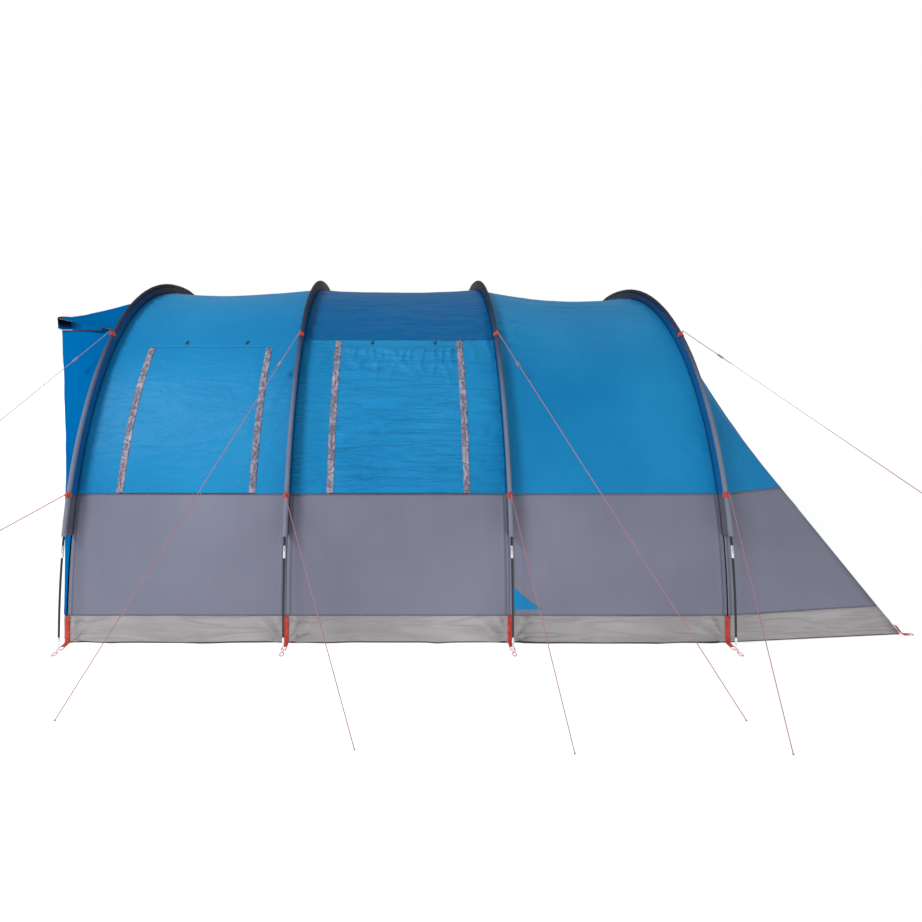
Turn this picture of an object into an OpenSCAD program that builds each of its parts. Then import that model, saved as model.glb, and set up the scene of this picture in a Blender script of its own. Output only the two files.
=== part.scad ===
// Tunnel tent on four hoops, with an awning bow, a swing-up door flap, window covers and guylines.
// Millimetres. +X is the rear, -X is the front, +Z is up and the ground is Z = 0.

/* [Overall] */
// Distance between the pole feet of a hoop
pole_span = 3200; // [2600:10:4000]
// Height of the two middle hoops, at the pole's centre line
hoop_height = 2008; // [1600:1:2400]
// How much lower the front hoop is than the middle hoops
front_hoop_drop = 25; // [0:1:150]
// How much lower the rear hoop is than the middle hoops
rear_hoop_drop = 65; // [0:1:200]
// Squareness of the arch, where 2 is an ellipse
arch_power = 2.2; // [1.9:0.05:3]

/* [Bays] */
// Length of the front bay
front_bay = 1121; // [800:1:1500]
// Length of the middle bay
middle_bay = 1149; // [800:1:1500]
// Length of the rear bay
rear_bay = 1114; // [800:1:1500]
// Length of the sloping back, from the rear hoop to its corners
rear_slope = 961; // [500:1:1400]
// Distance between the two rear corners
rear_width = 2860; // [2200:10:3400]
// Depth of the roof's dip between hoops, in the front, middle and rear bay
bay_sag = [25, 20, 50]; // [0:5:100]

/* [Fabric] */
// Thickness of the canopy and wall cloth
cloth = 2.6; // [1.5:0.1:5]
// Gap between the wall's foot and the pole's foot
foot_gap = 80; // [50:1:150]
// Height of the sleeve fin at the crown, from the roof to the pole's centre
fin_height = 58; // [35:1:90]
// Height of the seam between the blue canopy and the grey wall
seam_height = 740; // [500:10:900]
// Height of the mud skirt
skirt_height = 140; // [80:5:250]
// Drop from the top of the middle hoops to the point where the back seams leave the rear hoop
rear_seam_drop = 688; // [500:1:900]
// Gap left at a sewn seam
seam_gap = 0.2; // [0.1:0.1:1]

/* [Awning and front] */
// Reach of the awning bow in front of the front hoop
awning_reach = 710; // [400:1:1000]
// Gap between the front hoop's pole and the end of the awning bow beside it
bow_gap = 24.5; // [20:0.5:100]
// Drop from the top of the middle hoops to the ends of the awning bow
awning_drop = 388; // [300:1:700]
// Rise of the awning bow from the hoop to its tip
awning_rise = 115; // [0:1:300]
// Reach of the front wall at the ground
front_reach = 450; // [250:1:700]
// Half of the width of the door flap
door_half = 420; // [250:5:550]

/* [Windows] */
// Drop from the top of the middle hoops to the top edge of the window covers
window_drop = 488; // [400:1:900]
// Distance from the hoop in front to the front window
front_window_start = 225; // [100:1:400]
// Width of the front window
front_window_width = 700; // [400:1:900]
// Distance from the hoop in front to the middle window
middle_window_start = 214; // [100:1:400]
// Width of the middle window
middle_window_width = 723; // [400:1:900]
// Width of the storm strips over the zips
strip_width = 44; // [20:1:80]

/* [Poles and guylines] */
// Radius of the hoop poles
pole_r = 5.5; // [3:0.5:9]
// Radius of the awning rod
bow_r = 4.5; // [3:0.5:8]
// Outside radius of the pole sleeves
sleeve_r = 12; // [9:0.5:20]
// Length of the metal ferrules
ferrule_length = 60; // [30:1:100]
// Height of the lower end of the ferrules
ferrule_height = 453; // [200:1:600]
// Height of the lower guyline tabs
lower_tab = 754; // [600:1:900]
// Drop from the top of the middle hoops to the upper guyline tabs
upper_tab_drop = 418; // [300:1:900]
// Radius of the guyline cord
guy_r = 2; // [1:0.25:4]
// Radius of the peg holes in the webbing
peg_hole_r = 5; // [3:0.5:8]
// Clearance between a guyline and the hole in its runner
runner_clearance = 0.8; // [0.4:0.1:2]

/* [Hidden] */
$fn = 32;
loop_reach = 70;
strap_w = 25;
strap_t = 2.5;
door_gap = 3;
hinge_gap = 7;
pane_gap = 1.6;
hem = 0.5;
web = 3;
edge_gap = web + cloth + 1;
tab_bore = sleeve_r + 2;
total_length = awning_reach + sleeve_r + front_bay + middle_bay + rear_bay + rear_slope + loop_reach;
hoop1 = -total_length / 2 + awning_reach + sleeve_r;
hoop2 = hoop1 + front_bay;
hoop3 = hoop2 + middle_bay;
hoop4 = hoop3 + rear_bay;
hoops = [hoop1, hoop2, hoop3, hoop4];
pole_half = pole_span / 2;
awning_height = hoop_height - awning_drop;
window_top = hoop_height - window_drop;
upper_tab = hoop_height - upper_tab_drop;
wall_half = pole_half - foot_gap;
pole_top = [hoop_height - front_hoop_drop, hoop_height, hoop_height, hoop_height - rear_hoop_drop];
wall_top = [for (h = pole_top) h - fin_height];
awning_half = round(arch_half(pole_half, pole_top[0], awning_height) - bow_gap);
rear_corner = hoop4 + rear_slope;
rear_half = rear_width / 2;
rear_seam = hoop_height - rear_seam_drop;
bow_inset = 18;
ring_reach = 32.5;
runner_start = 250;
knot_r = 4.5;

// Where each guyline meets the ground, as X and Y, for the lower and the upper tab of each hoop
lower_pegs = [[-3130, -2380], [-310, -2355], [510, -2377], [1317, -2383]];
upper_pegs = [[-3180, -2300], [-1535, -2178], [1260, -2178], [3220, -2380]];

front_window = [hoop1 + front_window_start, hoop1 + front_window_start + front_window_width];
middle_window = [hoop2 + middle_window_start, hoop2 + middle_window_start + middle_window_width];
windows = [front_window, middle_window];

// Curves

function mix(a, b, t) = a + (b - a) * t;
function unit(v) = v / norm(v);
function power(v, p) = v <= 0 ? 0 : pow(v, p);
function arch_half(w, h, z) = w * power(1 - power(z / h, arch_power), 1 / arch_power);
function angle_at(h, z) = asin(power(z / h, arch_power / 2));
function arch_y(w, a) = sign(cos(a)) * w * power(abs(cos(a)), 2 / arch_power);
function arch_z(h, a) = h * power(abs(sin(a)), 2 / arch_power);
function bay_part(b, x) = (x - hoops[b]) / (hoops[b + 1] - hoops[b]);
function bay_top(b, x) = mix(wall_top[b], wall_top[b + 1], bay_part(b, x))
    - 4 * bay_sag[b] * bay_part(b, x) * (1 - bay_part(b, x));

// A point of a bay's cloth at angle a, moved inwards by inset
function bay_point(b, x, a, inset) =
    [x, arch_y(wall_half - inset, a), arch_z(bay_top(b, x) - inset, a)];
function pole_point(i, a) = [hoops[i], arch_y(pole_half, a), arch_z(pole_top[i], a)];
function wall_point(i, a) = [hoops[i], arch_y(wall_half, a), arch_z(wall_top[i], a)];

// Angles of the canopy's lines of points, from the left seam over the crown to the right seam
function half_angles(h) = concat(
    [for (i = [0:6]) angle_at(h, mix(seam_height + seam_gap / 2, window_top, i / 6))],
    [for (i = [1:9]) mix(angle_at(h, window_top), 90, i / 9)]);
function both_sides(list) = concat(list, [for (i = [len(list) - 2:-1:0]) 180 - list[i]]);
function canopy_angles(h) = both_sides(half_angles(h));

// Cloth: two layers of points and the faces between them

function grid_normal(g, r, c) = unit(cross(
    g[min(r + 1, len(g) - 1)][c] - g[max(r - 1, 0)][c],
    g[r][min(c + 1, len(g[0]) - 1)] - g[r][max(c - 1, 0)]));
function thickened(g, t) = [for (r = [0:len(g) - 1]) [for (c = [0:len(g[0]) - 1])
    g[r][c] + t * grid_normal(g, r, c)]];
function is_cell(r, c, rows, cols, gap) =
    r >= 0 && c >= 0 && r < rows - 1 && c < cols - 1
    && !(r >= gap[0] && r < gap[1] && (c < gap[2] || c >= cols - 1 - gap[2]));

// gap is [first row, end row, cells left out at each side]
module cloth_sheet(outer, inner, gap = [0, 0, 0]) {
    rows = len(outer);
    cols = len(outer[0]);
    n = rows * cols;
    faces = [for (r = [0:rows - 2]) for (c = [0:cols - 2]) if (is_cell(r, c, rows, cols, gap))
        let (p = r * cols + c, q = p + cols)
        each concat(
            [[p, q, q + 1], [p, q + 1, p + 1]],
            [[n + p, n + q + 1, n + q], [n + p, n + p + 1, n + q + 1]],
            is_cell(r - 1, c, rows, cols, gap) ? [] : [[p, p + 1, n + p + 1], [p, n + p + 1, n + p]],
            is_cell(r + 1, c, rows, cols, gap) ? [] : [[q + 1, q, n + q], [q + 1, n + q, n + q + 1]],
            is_cell(r, c - 1, rows, cols, gap) ? [] : [[q, p, n + p], [q, n + p, n + q]],
            is_cell(r, c + 1, rows, cols, gap) ? []
                : [[p + 1, q + 1, n + q + 1], [p + 1, n + q + 1, n + p + 1]])];
    polyhedron(points = concat([for (row = outer) each row], [for (row = inner) each row]),
        faces = faces, convexity = 6);
}

// A bay's cloth between two layers, over the given X positions and a list of angles for each
module bay_cloth(b, xs, angle_rows, inset, t, gap = [0, 0, 0]) {
    cloth_sheet(
        [for (i = [0:len(xs) - 1]) [for (a = angle_rows[i]) bay_point(b, xs[i], a, inset)]],
        [for (i = [0:len(xs) - 1]) [for (a = angle_rows[i]) bay_point(b, xs[i], a, inset + t)]],
        gap);
}

// X positions of a bay's lines of points, with its window's edges when it has one
function bay_xs(b) =
    let (a = hoops[b] + seam_gap / 2, z = hoops[b + 1] - seam_gap / 2)
    b == 2 ? [for (i = [0:8]) mix(a, z, i / 8)]
    : let (u = windows[b][0], v = windows[b][1])
        [a, (a + u) / 2, u, mix(u, v, 0.25), mix(u, v, 0.5), mix(u, v, 0.75), v, (v + z) / 2, z];

module canopy(b, gap) {
    xs = bay_xs(b);
    bay_cloth(b, xs, [for (x = xs) canopy_angles(bay_top(b, x))], 0, cloth, gap);
}

// side is 1 for the left (+Y) and -1 for the right (-Y)
function side_angles(h, low, high, steps, side) = side > 0
    ? [for (i = [0:steps]) angle_at(h, mix(low, high, i / steps))]
    : [for (i = [0:steps]) 180 - angle_at(h, mix(high, low, i / steps))];

module side_band(b, low, high, steps, side) {
    xs = bay_xs(b);
    bay_cloth(b, xs, [for (x = xs) side_angles(bay_top(b, x), low, high, steps, side)], 0, cloth);
}

module wall_panel(b, side) {
    color([0.42, 0.43, 0.5])
        side_band(b, skirt_height + seam_gap / 2, seam_height - seam_gap / 2, 3, side);
}

module skirt_bays(side) {
    color([0.6, 0.58, 0.56])
        for (b = [0:2])
            side_band(b, hem, skirt_height - seam_gap / 2, 1, side);
}

// Windows

module window_cover(b, side) {
    u = windows[b][0] + door_gap;
    v = windows[b][1] - door_gap;
    xs = [for (i = [0:4]) mix(u, v, i / 4)];
    rows = [for (x = xs) side_angles(bay_top(b, x), seam_height + door_gap,
        window_top - hinge_gap, 6, side)];
    color([0.13, 0.5, 0.74])
        bay_cloth(b, xs, rows, 0, cloth);
}

module window_strips(b, side) {
    color([0.62, 0.58, 0.64])
        for (edge = windows[b]) {
            xs = [edge - strip_width / 2, edge + strip_width / 2];
            rows = [for (x = xs) side_angles(bay_top(b, x), seam_height + 8,
                window_top - hinge_gap, 6, side)];
            bay_cloth(b, xs, rows, -3.4, 2.2);
        }
}

module pane(b, side) {
    u = windows[b][0] - 12;
    v = windows[b][1] + 12;
    xs = [for (i = [0:4]) mix(u, v, i / 4)];
    rows = [for (x = xs) side_angles(bay_top(b, x), seam_height + 4, window_top + 14, 6, side)];
    bay_cloth(b, xs, rows, cloth + pane_gap, 1.5);
}

// A toggle on its short webbing tab, just above a window cover
module toggle(b, x, side) {
    h = bay_top(b, x);
    a = side > 0 ? angle_at(h, window_top + 22) : 180 - angle_at(h, window_top + 22);
    p = bay_point(b, x, a, 0);
    q = bay_point(b, x, a, -10);
    tilt = atan2(q[2] - p[2], q[1] - p[1]);
    translate(p)
        rotate([tilt, 0, 0]) {
            translate([-5, 1, -4])
                cube([10, 5, 8]);
            translate([0, 8, 0])
                cylinder(r = 4, h = 30, center = true);
        }
}

// Hoop poles, drawn as eight-sided rods

module rod(points, side, r) {
    n = len(points);
    rings = [for (i = [0:n - 1])
        let (t = unit(points[min(i + 1, n - 1)] - points[max(i - 1, 0)]), m = unit(cross(t, side)))
        for (k = [0:7]) points[i] + r * (cos(k * 45) * side + sin(k * 45) * m)];
    sides = [for (i = [0:n - 2]) for (k = [0:7])
        let (p = i * 8 + k, q = i * 8 + (k + 1) % 8)
        each [[p, q, q + 8], [p, q + 8, p + 8]]];
    polyhedron(points = rings, faces = concat([[for (k = [7:-1:0]) k]], sides,
        [[for (k = [0:7]) (n - 1) * 8 + k]]), convexity = 4);
}

module hoop_rods(i) {
    h = pole_top[i];
    foot = angle_at(h, 67 + seam_gap);
    low = angle_at(h, ferrule_height - seam_gap);
    high = angle_at(h, ferrule_height + ferrule_length + seam_gap);
    color([0.06, 0.06, 0.07]) {
        for (a = [[foot, low], [180 - low, 180 - foot]])
            rod([for (k = [0:2]) pole_point(i, mix(a[0], a[1], k / 2))], [1, 0, 0], pole_r);
        for (s = [0:6]) {
            from = mix(high, 180 - high, s / 7) + (s == 0 ? 0 : 0.09);
            to = mix(high, 180 - high, (s + 1) / 7);
            rod([for (k = [0:4]) pole_point(i, mix(from, to, k / 4))], [1, 0, 0], pole_r);
        }
    }
}

// Places children at a point of hoop i, with +Y outwards, +Z along the pole and +X to the rear
module on_hoop(i, z, side) {
    a = side > 0 ? angle_at(pole_top[i], z) : 180 - angle_at(pole_top[i], z);
    p = pole_point(i, a);
    d = outward(i, z, side);
    translate(p)
        rotate([atan2(d[2], d[1]), 0, 0])
            children();
}

function outward(i, z, side) =
    let (a = side > 0 ? angle_at(pole_top[i], z) : 180 - angle_at(pole_top[i], z))
    unit(pole_point(i, a) - wall_point(i, a));

// A loop of sleeve around a pole, open at its foot; columns run from the rear side to the front side
function sleeve_outer(foot, centre, out, side, r) = concat(
    [foot + out * 0.3 + side * web],
    [for (a = [14.5, 56, 97, 138.5, 180, 221.5, 263, 304, 345.5])
        centre + r * (sin(a) * side - cos(a) * out)],
    [foot + out * 0.3 - side * web]);
function sleeve_inner(foot, centre, out, side, r) = concat(
    [foot + out * 0.3 + side * 0.4],
    [for (a = [3, 50, 94, 137, 180, 223, 266, 310, 357]) centre + r * (sin(a) * side - cos(a) * out)],
    [foot + out * 0.3 - side * 0.4]);

module hoop_sleeve(i) {
    h = wall_top[i];
    low = angle_at(h, 540);
    angles = concat([low], canopy_angles(h), [180 - low]);
    outer = [for (a = angles)
        let (w = wall_point(i, a), p = pole_point(i, a))
        sleeve_outer(w, p, unit(p - w), [1, 0, 0], sleeve_r)];
    inner = [for (a = angles)
        let (w = wall_point(i, a), p = pole_point(i, a))
        sleeve_inner(w, p, unit(p - w), [1, 0, 0], sleeve_r - 3.4)];
    color([0.16, 0.17, 0.21])
        cloth_sheet(outer, inner);
}

// Awning bow

// Half of the roof's width where it meets the front hoop
awning_foot = arch_half(wall_half, wall_top[0], awning_height);
bow_side = unit([awning_rise, 0, awning_reach]);
function bow_point(a, reach, half, drop) =
    [hoop1 - reach * sin(a), half * cos(a), awning_height + awning_rise * sin(a) - drop];
function bow_outward(a) = unit([-sin(a) * awning_half, cos(a) * awning_reach, 0]);

module awning_roof() {
    outer = [for (r = [0:5]) [for (c = [0:20])
        let (a = 180 - mix(4, 176, c / 20), e = bow_point(a, awning_reach - bow_inset,
            awning_half - bow_inset, -1), y = e[1])
        let (w = y * min(1, awning_foot / (awning_half - bow_inset)))
        let (s = [hoop1 - 4.5, w, wall_top[0] * power(1 - power(abs(w) / wall_half, arch_power),
            1 / arch_power)])
        mix(s, e, r / 5) - [0, 0, 60 * (r / 5) * (1 - r / 5) * sin(a)]]];
    color([0.1, 0.42, 0.66])
        cloth_sheet(outer, [for (row = outer) [for (p = row) p - [0, 0, cloth]]]);
}

module awning_rods() {
    color([0.06, 0.06, 0.07])
        for (s = [0:4]) {
            from = mix(1.4, 178.6, s / 5) + (s == 0 ? 0 : 0.12);
            to = mix(1.4, 178.6, (s + 1) / 5);
            rod([for (k = [0:5]) bow_point(mix(from, to, k / 5), awning_reach, awning_half, 0)],
                bow_side, bow_r);
        }
}

module awning_sleeve() {
    angles = [for (k = [0:14]) mix(52, 128, k / 14)];
    outer = [for (a = angles)
        let (p = bow_point(a, awning_reach, awning_half, 0), u = bow_outward(a))
        sleeve_outer(p - (bow_inset - 1) * u, p, u, [0, 0, 1], sleeve_r)];
    inner = [for (a = angles)
        let (p = bow_point(a, awning_reach, awning_half, 0), u = bow_outward(a))
        sleeve_inner(p - (bow_inset - 1) * u, p, u, [0, 0, 1], sleeve_r - 3.4)];
    color([0.16, 0.17, 0.21])
        cloth_sheet(outer, inner);
}

// Front wall, bowed out from the front hoop; v runs from 0 at the ground to 1 under the bow

function front_depth(v) = front_reach + (awning_reach - bow_inset - front_reach) * power(v, 1.4);
function front_power(v) = 1.3 + 0.7 * power(v, 2.5);
function front_chord(v) = arch_half(wall_half, wall_top[0], v * awning_height)
    + (awning_half - bow_inset - awning_foot) * power(v, 6);
function front_rise(y) = sqrt(1 - pow(min(abs(y) / (awning_half - bow_inset), 1), 2));
function front_point(y, v) =
    let (c = front_chord(v), m = front_power(v), k = min(abs(y) / c, 1))
    [hoop1 - edge_gap - (front_depth(v) - edge_gap) * power(1 - power(k, m), 1 / m), y,
        hem + v * (awning_height - 5 + awning_rise * front_rise(y))];

// Columns of the side panels, from the door's edge to the hoop
function panel_y(v, k, side) = side * mix(door_half + 1, front_chord(v), sin(90 * k / 8));
function panel_columns(v, side) = side > 0
    ? [for (k = [8:-1:0]) front_point(panel_y(v, k, side), v)]
    : [for (k = [0:8]) front_point(panel_y(v, k, side), v)];
skirt_v = 0.085;
door_v = [0.095, 0.865];

module front_panel(side) {
    grid = [for (v = [0.086, 0.2, 0.35, 0.5, 0.62, 0.74, 0.84, 0.91, 0.96, 1])
        panel_columns(v, side)];
    color([0.1, 0.42, 0.66])
        cloth_sheet(grid, thickened(grid, cloth));
}

module door_header() {
    grid = [for (v = [door_v[1] + 0.002, 0.91, 0.96, 1])
        [for (k = [0:6]) front_point(mix(door_half, -door_half, k / 6), v)]];
    color([0.1, 0.42, 0.66])
        cloth_sheet(grid, thickened(grid, cloth));
}

module door_flap() {
    half = door_half - door_gap;
    grid = [for (r = [0:8]) let (v = mix(door_v[0], door_v[1] - 0.005, r / 8))
        [for (k = [0:6]) front_point(mix(half, -half, k / 6), v)]];
    color([0.13, 0.5, 0.74])
        cloth_sheet(grid, thickened(grid, cloth));
}

module front_skirt() {
    grid = [for (v = [0, skirt_v / 2, skirt_v - 0.001])
        concat(panel_columns(v, 1),
            [for (k = [1:5]) front_point(mix(door_half + 1, -door_half - 1, k / 6), v)],
            panel_columns(v, -1))];
    color([0.6, 0.58, 0.56])
        cloth_sheet(grid, thickened(grid, cloth));
}

// Sloping back

// Y positions along the rear hoop between the two back seams
arch_split = angle_at(wall_top[3], rear_seam);
function back_line(k) =
    let (a = mix(180 - arch_split, arch_split, k / 12), p = wall_point(3, a))
    [[p[0] + edge_gap, p[1], p[2]], [rear_corner, mix(-rear_half, rear_half, k / 12), 0]];
function back_point(k, z) =
    let (l = back_line(k), f = (l[0][2] - z) / (l[0][2] - l[1][2]))
    mix(l[0], l[1], f) - [0.588, 0, 0.808] * 70 * f * (1 - f) * sin(180 * k / 12);
function back_seam(z, side) =
    back_point(side > 0 ? 12 : 0, z);
function side_point(z, t, side) =
    let (h = [hoop4 + edge_gap, side * arch_half(wall_half, wall_top[3], z), z])
    mix(h, back_seam(z, side), t);
function back_row(zs, zm) = concat(
    [side_point(zs, 0, -1), side_point(zs, 0.5, -1)],
    [for (k = [0:12]) back_point(k, zm[k])],
    [side_point(zs, 0.5, 1), side_point(zs, 0, 1)]);

module back_band(low, high, steps) {
    grid = [for (r = [0:steps]) let (z = mix(low, high, r / steps))
        back_row(z, [for (k = [0:12]) z])];
    cloth_sheet(grid, thickened(grid, cloth));
}

module rear_canopy() {
    low = seam_height + 0.6;
    grid = [for (r = [0:5]) let (f = r / 5)
        back_row(mix(low, rear_seam - 25, f), [for (k = [0:12]) mix(low, back_line(k)[0][2], f)])];
    color([0.13, 0.5, 0.74])
        cloth_sheet(grid, thickened(grid, cloth));
}

module rear_wall() {
    color([0.42, 0.43, 0.5])
        back_band(skirt_height + 0.6, seam_height - 0.6, 4);
}

module rear_skirt() {
    color([0.6, 0.58, 0.56])
        back_band(hem + 1.8, skirt_height - 0.6, 1);
}

// Ground

module groundsheet() {
    edge = wall_half - cloth - 3;
    front = [for (k = [0:16])
        let (y = mix(edge, -edge, k / 16), f = power(1 - power(abs(y) / edge, 1.3), 1 / 1.3))
        [hoop1 - edge_gap - 2 - (front_reach - edge_gap - 14) * f, y]];
    color([0.25, 0.26, 0.3])
        linear_extrude(height = 2)
            polygon(concat(front, [[hoop4 - 2, -edge], [rear_corner - 9, -(rear_half - 8)],
                [rear_corner - 9, rear_half - 8], [hoop4 - 2, edge]]));
}

// Webbing at a pole's foot: up the skirt, round the pin and out to the peg hole
module foot_strap(x) {
    translate([x - strap_w / 2, wall_half + 0.8, 0])
        difference() {
            union() {
                cube([strap_w, strap_t, skirt_height]);
                cube([strap_w, foot_gap + 60, strap_t]);
            }
            translate([strap_w / 2, foot_gap - 0.8, -1])
                cylinder(r = 4.3, h = strap_t + 2);
            translate([strap_w / 2, foot_gap + 42, -1])
                cylinder(r = peg_hole_r, h = strap_t + 2);
        }
}

module foot_straps() {
    color([0.75, 0.13, 0.09])
        for (x = hoops) {
            foot_strap(x);
            mirror([0, 1, 0])
                foot_strap(x);
        }
}

module rear_peg_loop() {
    translate([rear_corner + 1, rear_half - strap_w / 2, 0])
        difference() {
            cube([loop_reach - 1, strap_w, strap_t]);
            translate([loop_reach - 17, strap_w / 2, -1])
                cylinder(r = peg_hole_r, h = strap_t + 2);
        }
    translate([rear_corner + 7, rear_half - strap_w / 2, 1])
        rotate([0, -126, 0])
            translate([0, 0, -strap_t])
                cube([60, strap_w, strap_t]);
}

module rear_peg_loops() {
    color([0.75, 0.13, 0.09]) {
        rear_peg_loop();
        mirror([0, 1, 0])
            rear_peg_loop();
    }
}

module pole_end_pins() {
    color([0.75, 0.76, 0.78])
        for (x = hoops, side = [-1, 1])
            translate([x, side * pole_half, 0]) {
                cylinder(r = 3.5, h = 40);
                translate([0, 0, 39.5])
                    cylinder(r = pole_r, h = 27.5);
            }
}

module pole_ferrules() {
    color([0.8, 0.8, 0.82])
        for (i = [0:3], side = [-1, 1]) {
            h = pole_top[i];
            y = side * arch_half(pole_half, h, ferrule_height);
            y2 = side * arch_half(pole_half, h, ferrule_height + ferrule_length);
            line_between([hoops[i], y, ferrule_height], [hoops[i], y2, ferrule_height
                + ferrule_length], pole_r + 1.5);
        }
}

module line_between(a, b, r) {
    d = b - a;
    translate(a)
        rotate([0, acos(d[2] / norm(d)), atan2(d[1], d[0])])
            cylinder(r = r, h = norm(d));
}

// Guyline tabs, lines and runners

module guy_tab() {
    difference() {
        union() {
            cylinder(r = tab_bore + 2.8, h = 28, center = true);
            translate([0, ring_reach - 10, 0])
                rotate([0, 90, 0])
                    cylinder(r = 10, h = 4, center = true);
        }
        cylinder(r = tab_bore, h = 30, center = true);
        translate([0, ring_reach - 9, 0])
            rotate([0, 90, 0])
                cylinder(r = 5, h = 6, center = true);
        translate([-5, -40, -20])
            cube([10, 40, 40]);
    }
}

module guy_tabs() {
    color([0.78, 0.16, 0.1])
        for (i = [0:3], z = [lower_tab, upper_tab], side = [-1, 1])
            on_hoop(i, z, side)
                guy_tab();
}

function guy_top(i, z) =
    let (a = 180 - angle_at(pole_top[i], z))
    pole_point(i, a) + (ring_reach + knot_r + 0.5) * outward(i, z, -1);
function guy_peg(p) = [p[0], p[1], knot_r];

module guyline(i, z, peg) {
    a = guy_top(i, z);
    b = guy_peg(peg);
    color([0.75, 0.45, 0.45]) {
        line_between(a, b, guy_r);
        translate(a)
            sphere(r = knot_r);
        translate(b)
            sphere(r = knot_r);
    }
}

module runner(i, z, peg) {
    a = guy_top(i, z);
    d = unit(guy_peg(peg) - a);
    translate(a + runner_start * d)
        rotate([0, acos(d[2]), atan2(d[1], d[0])])
            difference() {
                cube([9, 20, 34], center = true);
                cylinder(r = guy_r + runner_clearance, h = 40, center = true);
                translate([0, 6.5, 9])
                    rotate([0, 90, 0])
                        cylinder(r = 2, h = 12, center = true);
            }
}

// Assembled nodes

module hoop_1_rods() { hoop_rods(0); }
module hoop_2_rods() { hoop_rods(1); }
module hoop_3_rods() { hoop_rods(2); }
module hoop_4_rods() { hoop_rods(3); }
module sleeve_1() { hoop_sleeve(0); }
module sleeve_2() { hoop_sleeve(1); }
module sleeve_3() { hoop_sleeve(2); }
module sleeve_4() { hoop_sleeve(3); }
module canopy_front_bay() { color([0.14, 0.52, 0.76]) canopy(0, [2, 6, 6]); }
module canopy_middle_bay() { color([0.14, 0.52, 0.76]) canopy(1, [2, 6, 6]); }
module canopy_rear_bay() { color([0.13, 0.5, 0.74]) canopy(2, [0, 0, 0]); }
module wall_front_right() { wall_panel(0, -1); }
module wall_front_left() { wall_panel(0, 1); }
module wall_middle_right() { wall_panel(1, -1); }
module wall_middle_left() { wall_panel(1, 1); }
module wall_rear_right() { wall_panel(2, -1); }
module wall_rear_left() { wall_panel(2, 1); }
module skirt_right() { skirt_bays(-1); }
module skirt_left() { skirt_bays(1); }
module front_panel_right() { front_panel(-1); }
module front_panel_left() { front_panel(1); }
module cover_front_right() { window_cover(0, -1); }
module cover_front_left() { window_cover(0, 1); }
module cover_middle_right() { window_cover(1, -1); }
module cover_middle_left() { window_cover(1, 1); }
module strips_front_right() { window_strips(0, -1); }
module strips_front_left() { window_strips(0, 1); }
module strips_middle_right() { window_strips(1, -1); }
module strips_middle_left() { window_strips(1, 1); }

module window_panes() {
    color([0.8, 0.85, 0.9, 0.35])
        for (b = [0, 1], side = [-1, 1])
            pane(b, side);
}

module toggles() {
    color([0.12, 0.12, 0.14])
        for (b = [0, 1], t = [0.28, 0.8], side = [-1, 1])
            toggle(b, mix(windows[b][0], windows[b][1], t), side);
}

// Blue reinforcement on the right wall, beside the third hoop's foot
module corner_patch() {
    low = 171;
    y = arch_half(wall_half, wall_top[2], low);
    lean = atan((y - arch_half(wall_half, wall_top[2], 294)) / 123);
    color([0.11, 0.48, 0.72])
        translate([hoop3 + 12, -y, low])
            rotate([90 - lean, 0, 0])
                translate([0, 0, 1])
                    linear_extrude(height = 1.2)
                        polygon([[0, 0], [148, 0], [128, 6], [100, 17], [68, 40], [36, 76], [12, 108],
                            [0, 123]]);
}

module guy_1_lower() { guyline(0, lower_tab, lower_pegs[0]); }
module guy_1_upper() { guyline(0, upper_tab, upper_pegs[0]); }
module guy_2_lower() { guyline(1, lower_tab, lower_pegs[1]); }
module guy_2_upper() { guyline(1, upper_tab, upper_pegs[1]); }
module guy_3_lower() { guyline(2, lower_tab, lower_pegs[2]); }
module guy_3_upper() { guyline(2, upper_tab, upper_pegs[2]); }
module guy_4_lower() { guyline(3, lower_tab, lower_pegs[3]); }
module guy_4_upper() { guyline(3, upper_tab, upper_pegs[3]); }
module runner_1() { color([0.55, 0.5, 0.52]) runner(0, upper_tab, upper_pegs[0]); }
module runner_2() { color([0.55, 0.5, 0.52]) runner(1, upper_tab, upper_pegs[1]); }
module runner_3() { color([0.55, 0.5, 0.52]) runner(2, upper_tab, upper_pegs[2]); }
module runner_4() { color([0.55, 0.5, 0.52]) runner(3, upper_tab, upper_pegs[3]); }

groundsheet();
hoop_1_rods();
hoop_2_rods();
hoop_3_rods();
hoop_4_rods();
pole_ferrules();
pole_end_pins();
foot_straps();
rear_peg_loops();
sleeve_1();
sleeve_2();
sleeve_3();
sleeve_4();
awning_rods();
awning_sleeve();
awning_roof();
canopy_front_bay();
canopy_middle_bay();
canopy_rear_bay();
wall_front_right();
wall_front_left();
wall_middle_right();
wall_middle_left();
wall_rear_right();
wall_rear_left();
skirt_right();
skirt_left();
front_panel_right();
front_panel_left();
door_header();
front_skirt();
door_flap();
rear_canopy();
rear_wall();
rear_skirt();
window_panes();
cover_front_right();
cover_front_left();
cover_middle_right();
cover_middle_left();
strips_front_right();
strips_front_left();
strips_middle_right();
strips_middle_left();
toggles();
corner_patch();
guy_tabs();
guy_1_lower();
guy_1_upper();
guy_2_lower();
guy_2_upper();
guy_3_lower();
guy_3_upper();
guy_4_lower();
guy_4_upper();
runner_1();
runner_2();
runner_3();
runner_4();
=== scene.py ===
import math

import bmesh
import bpy
from mathutils import Matrix, Vector, noise


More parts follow.
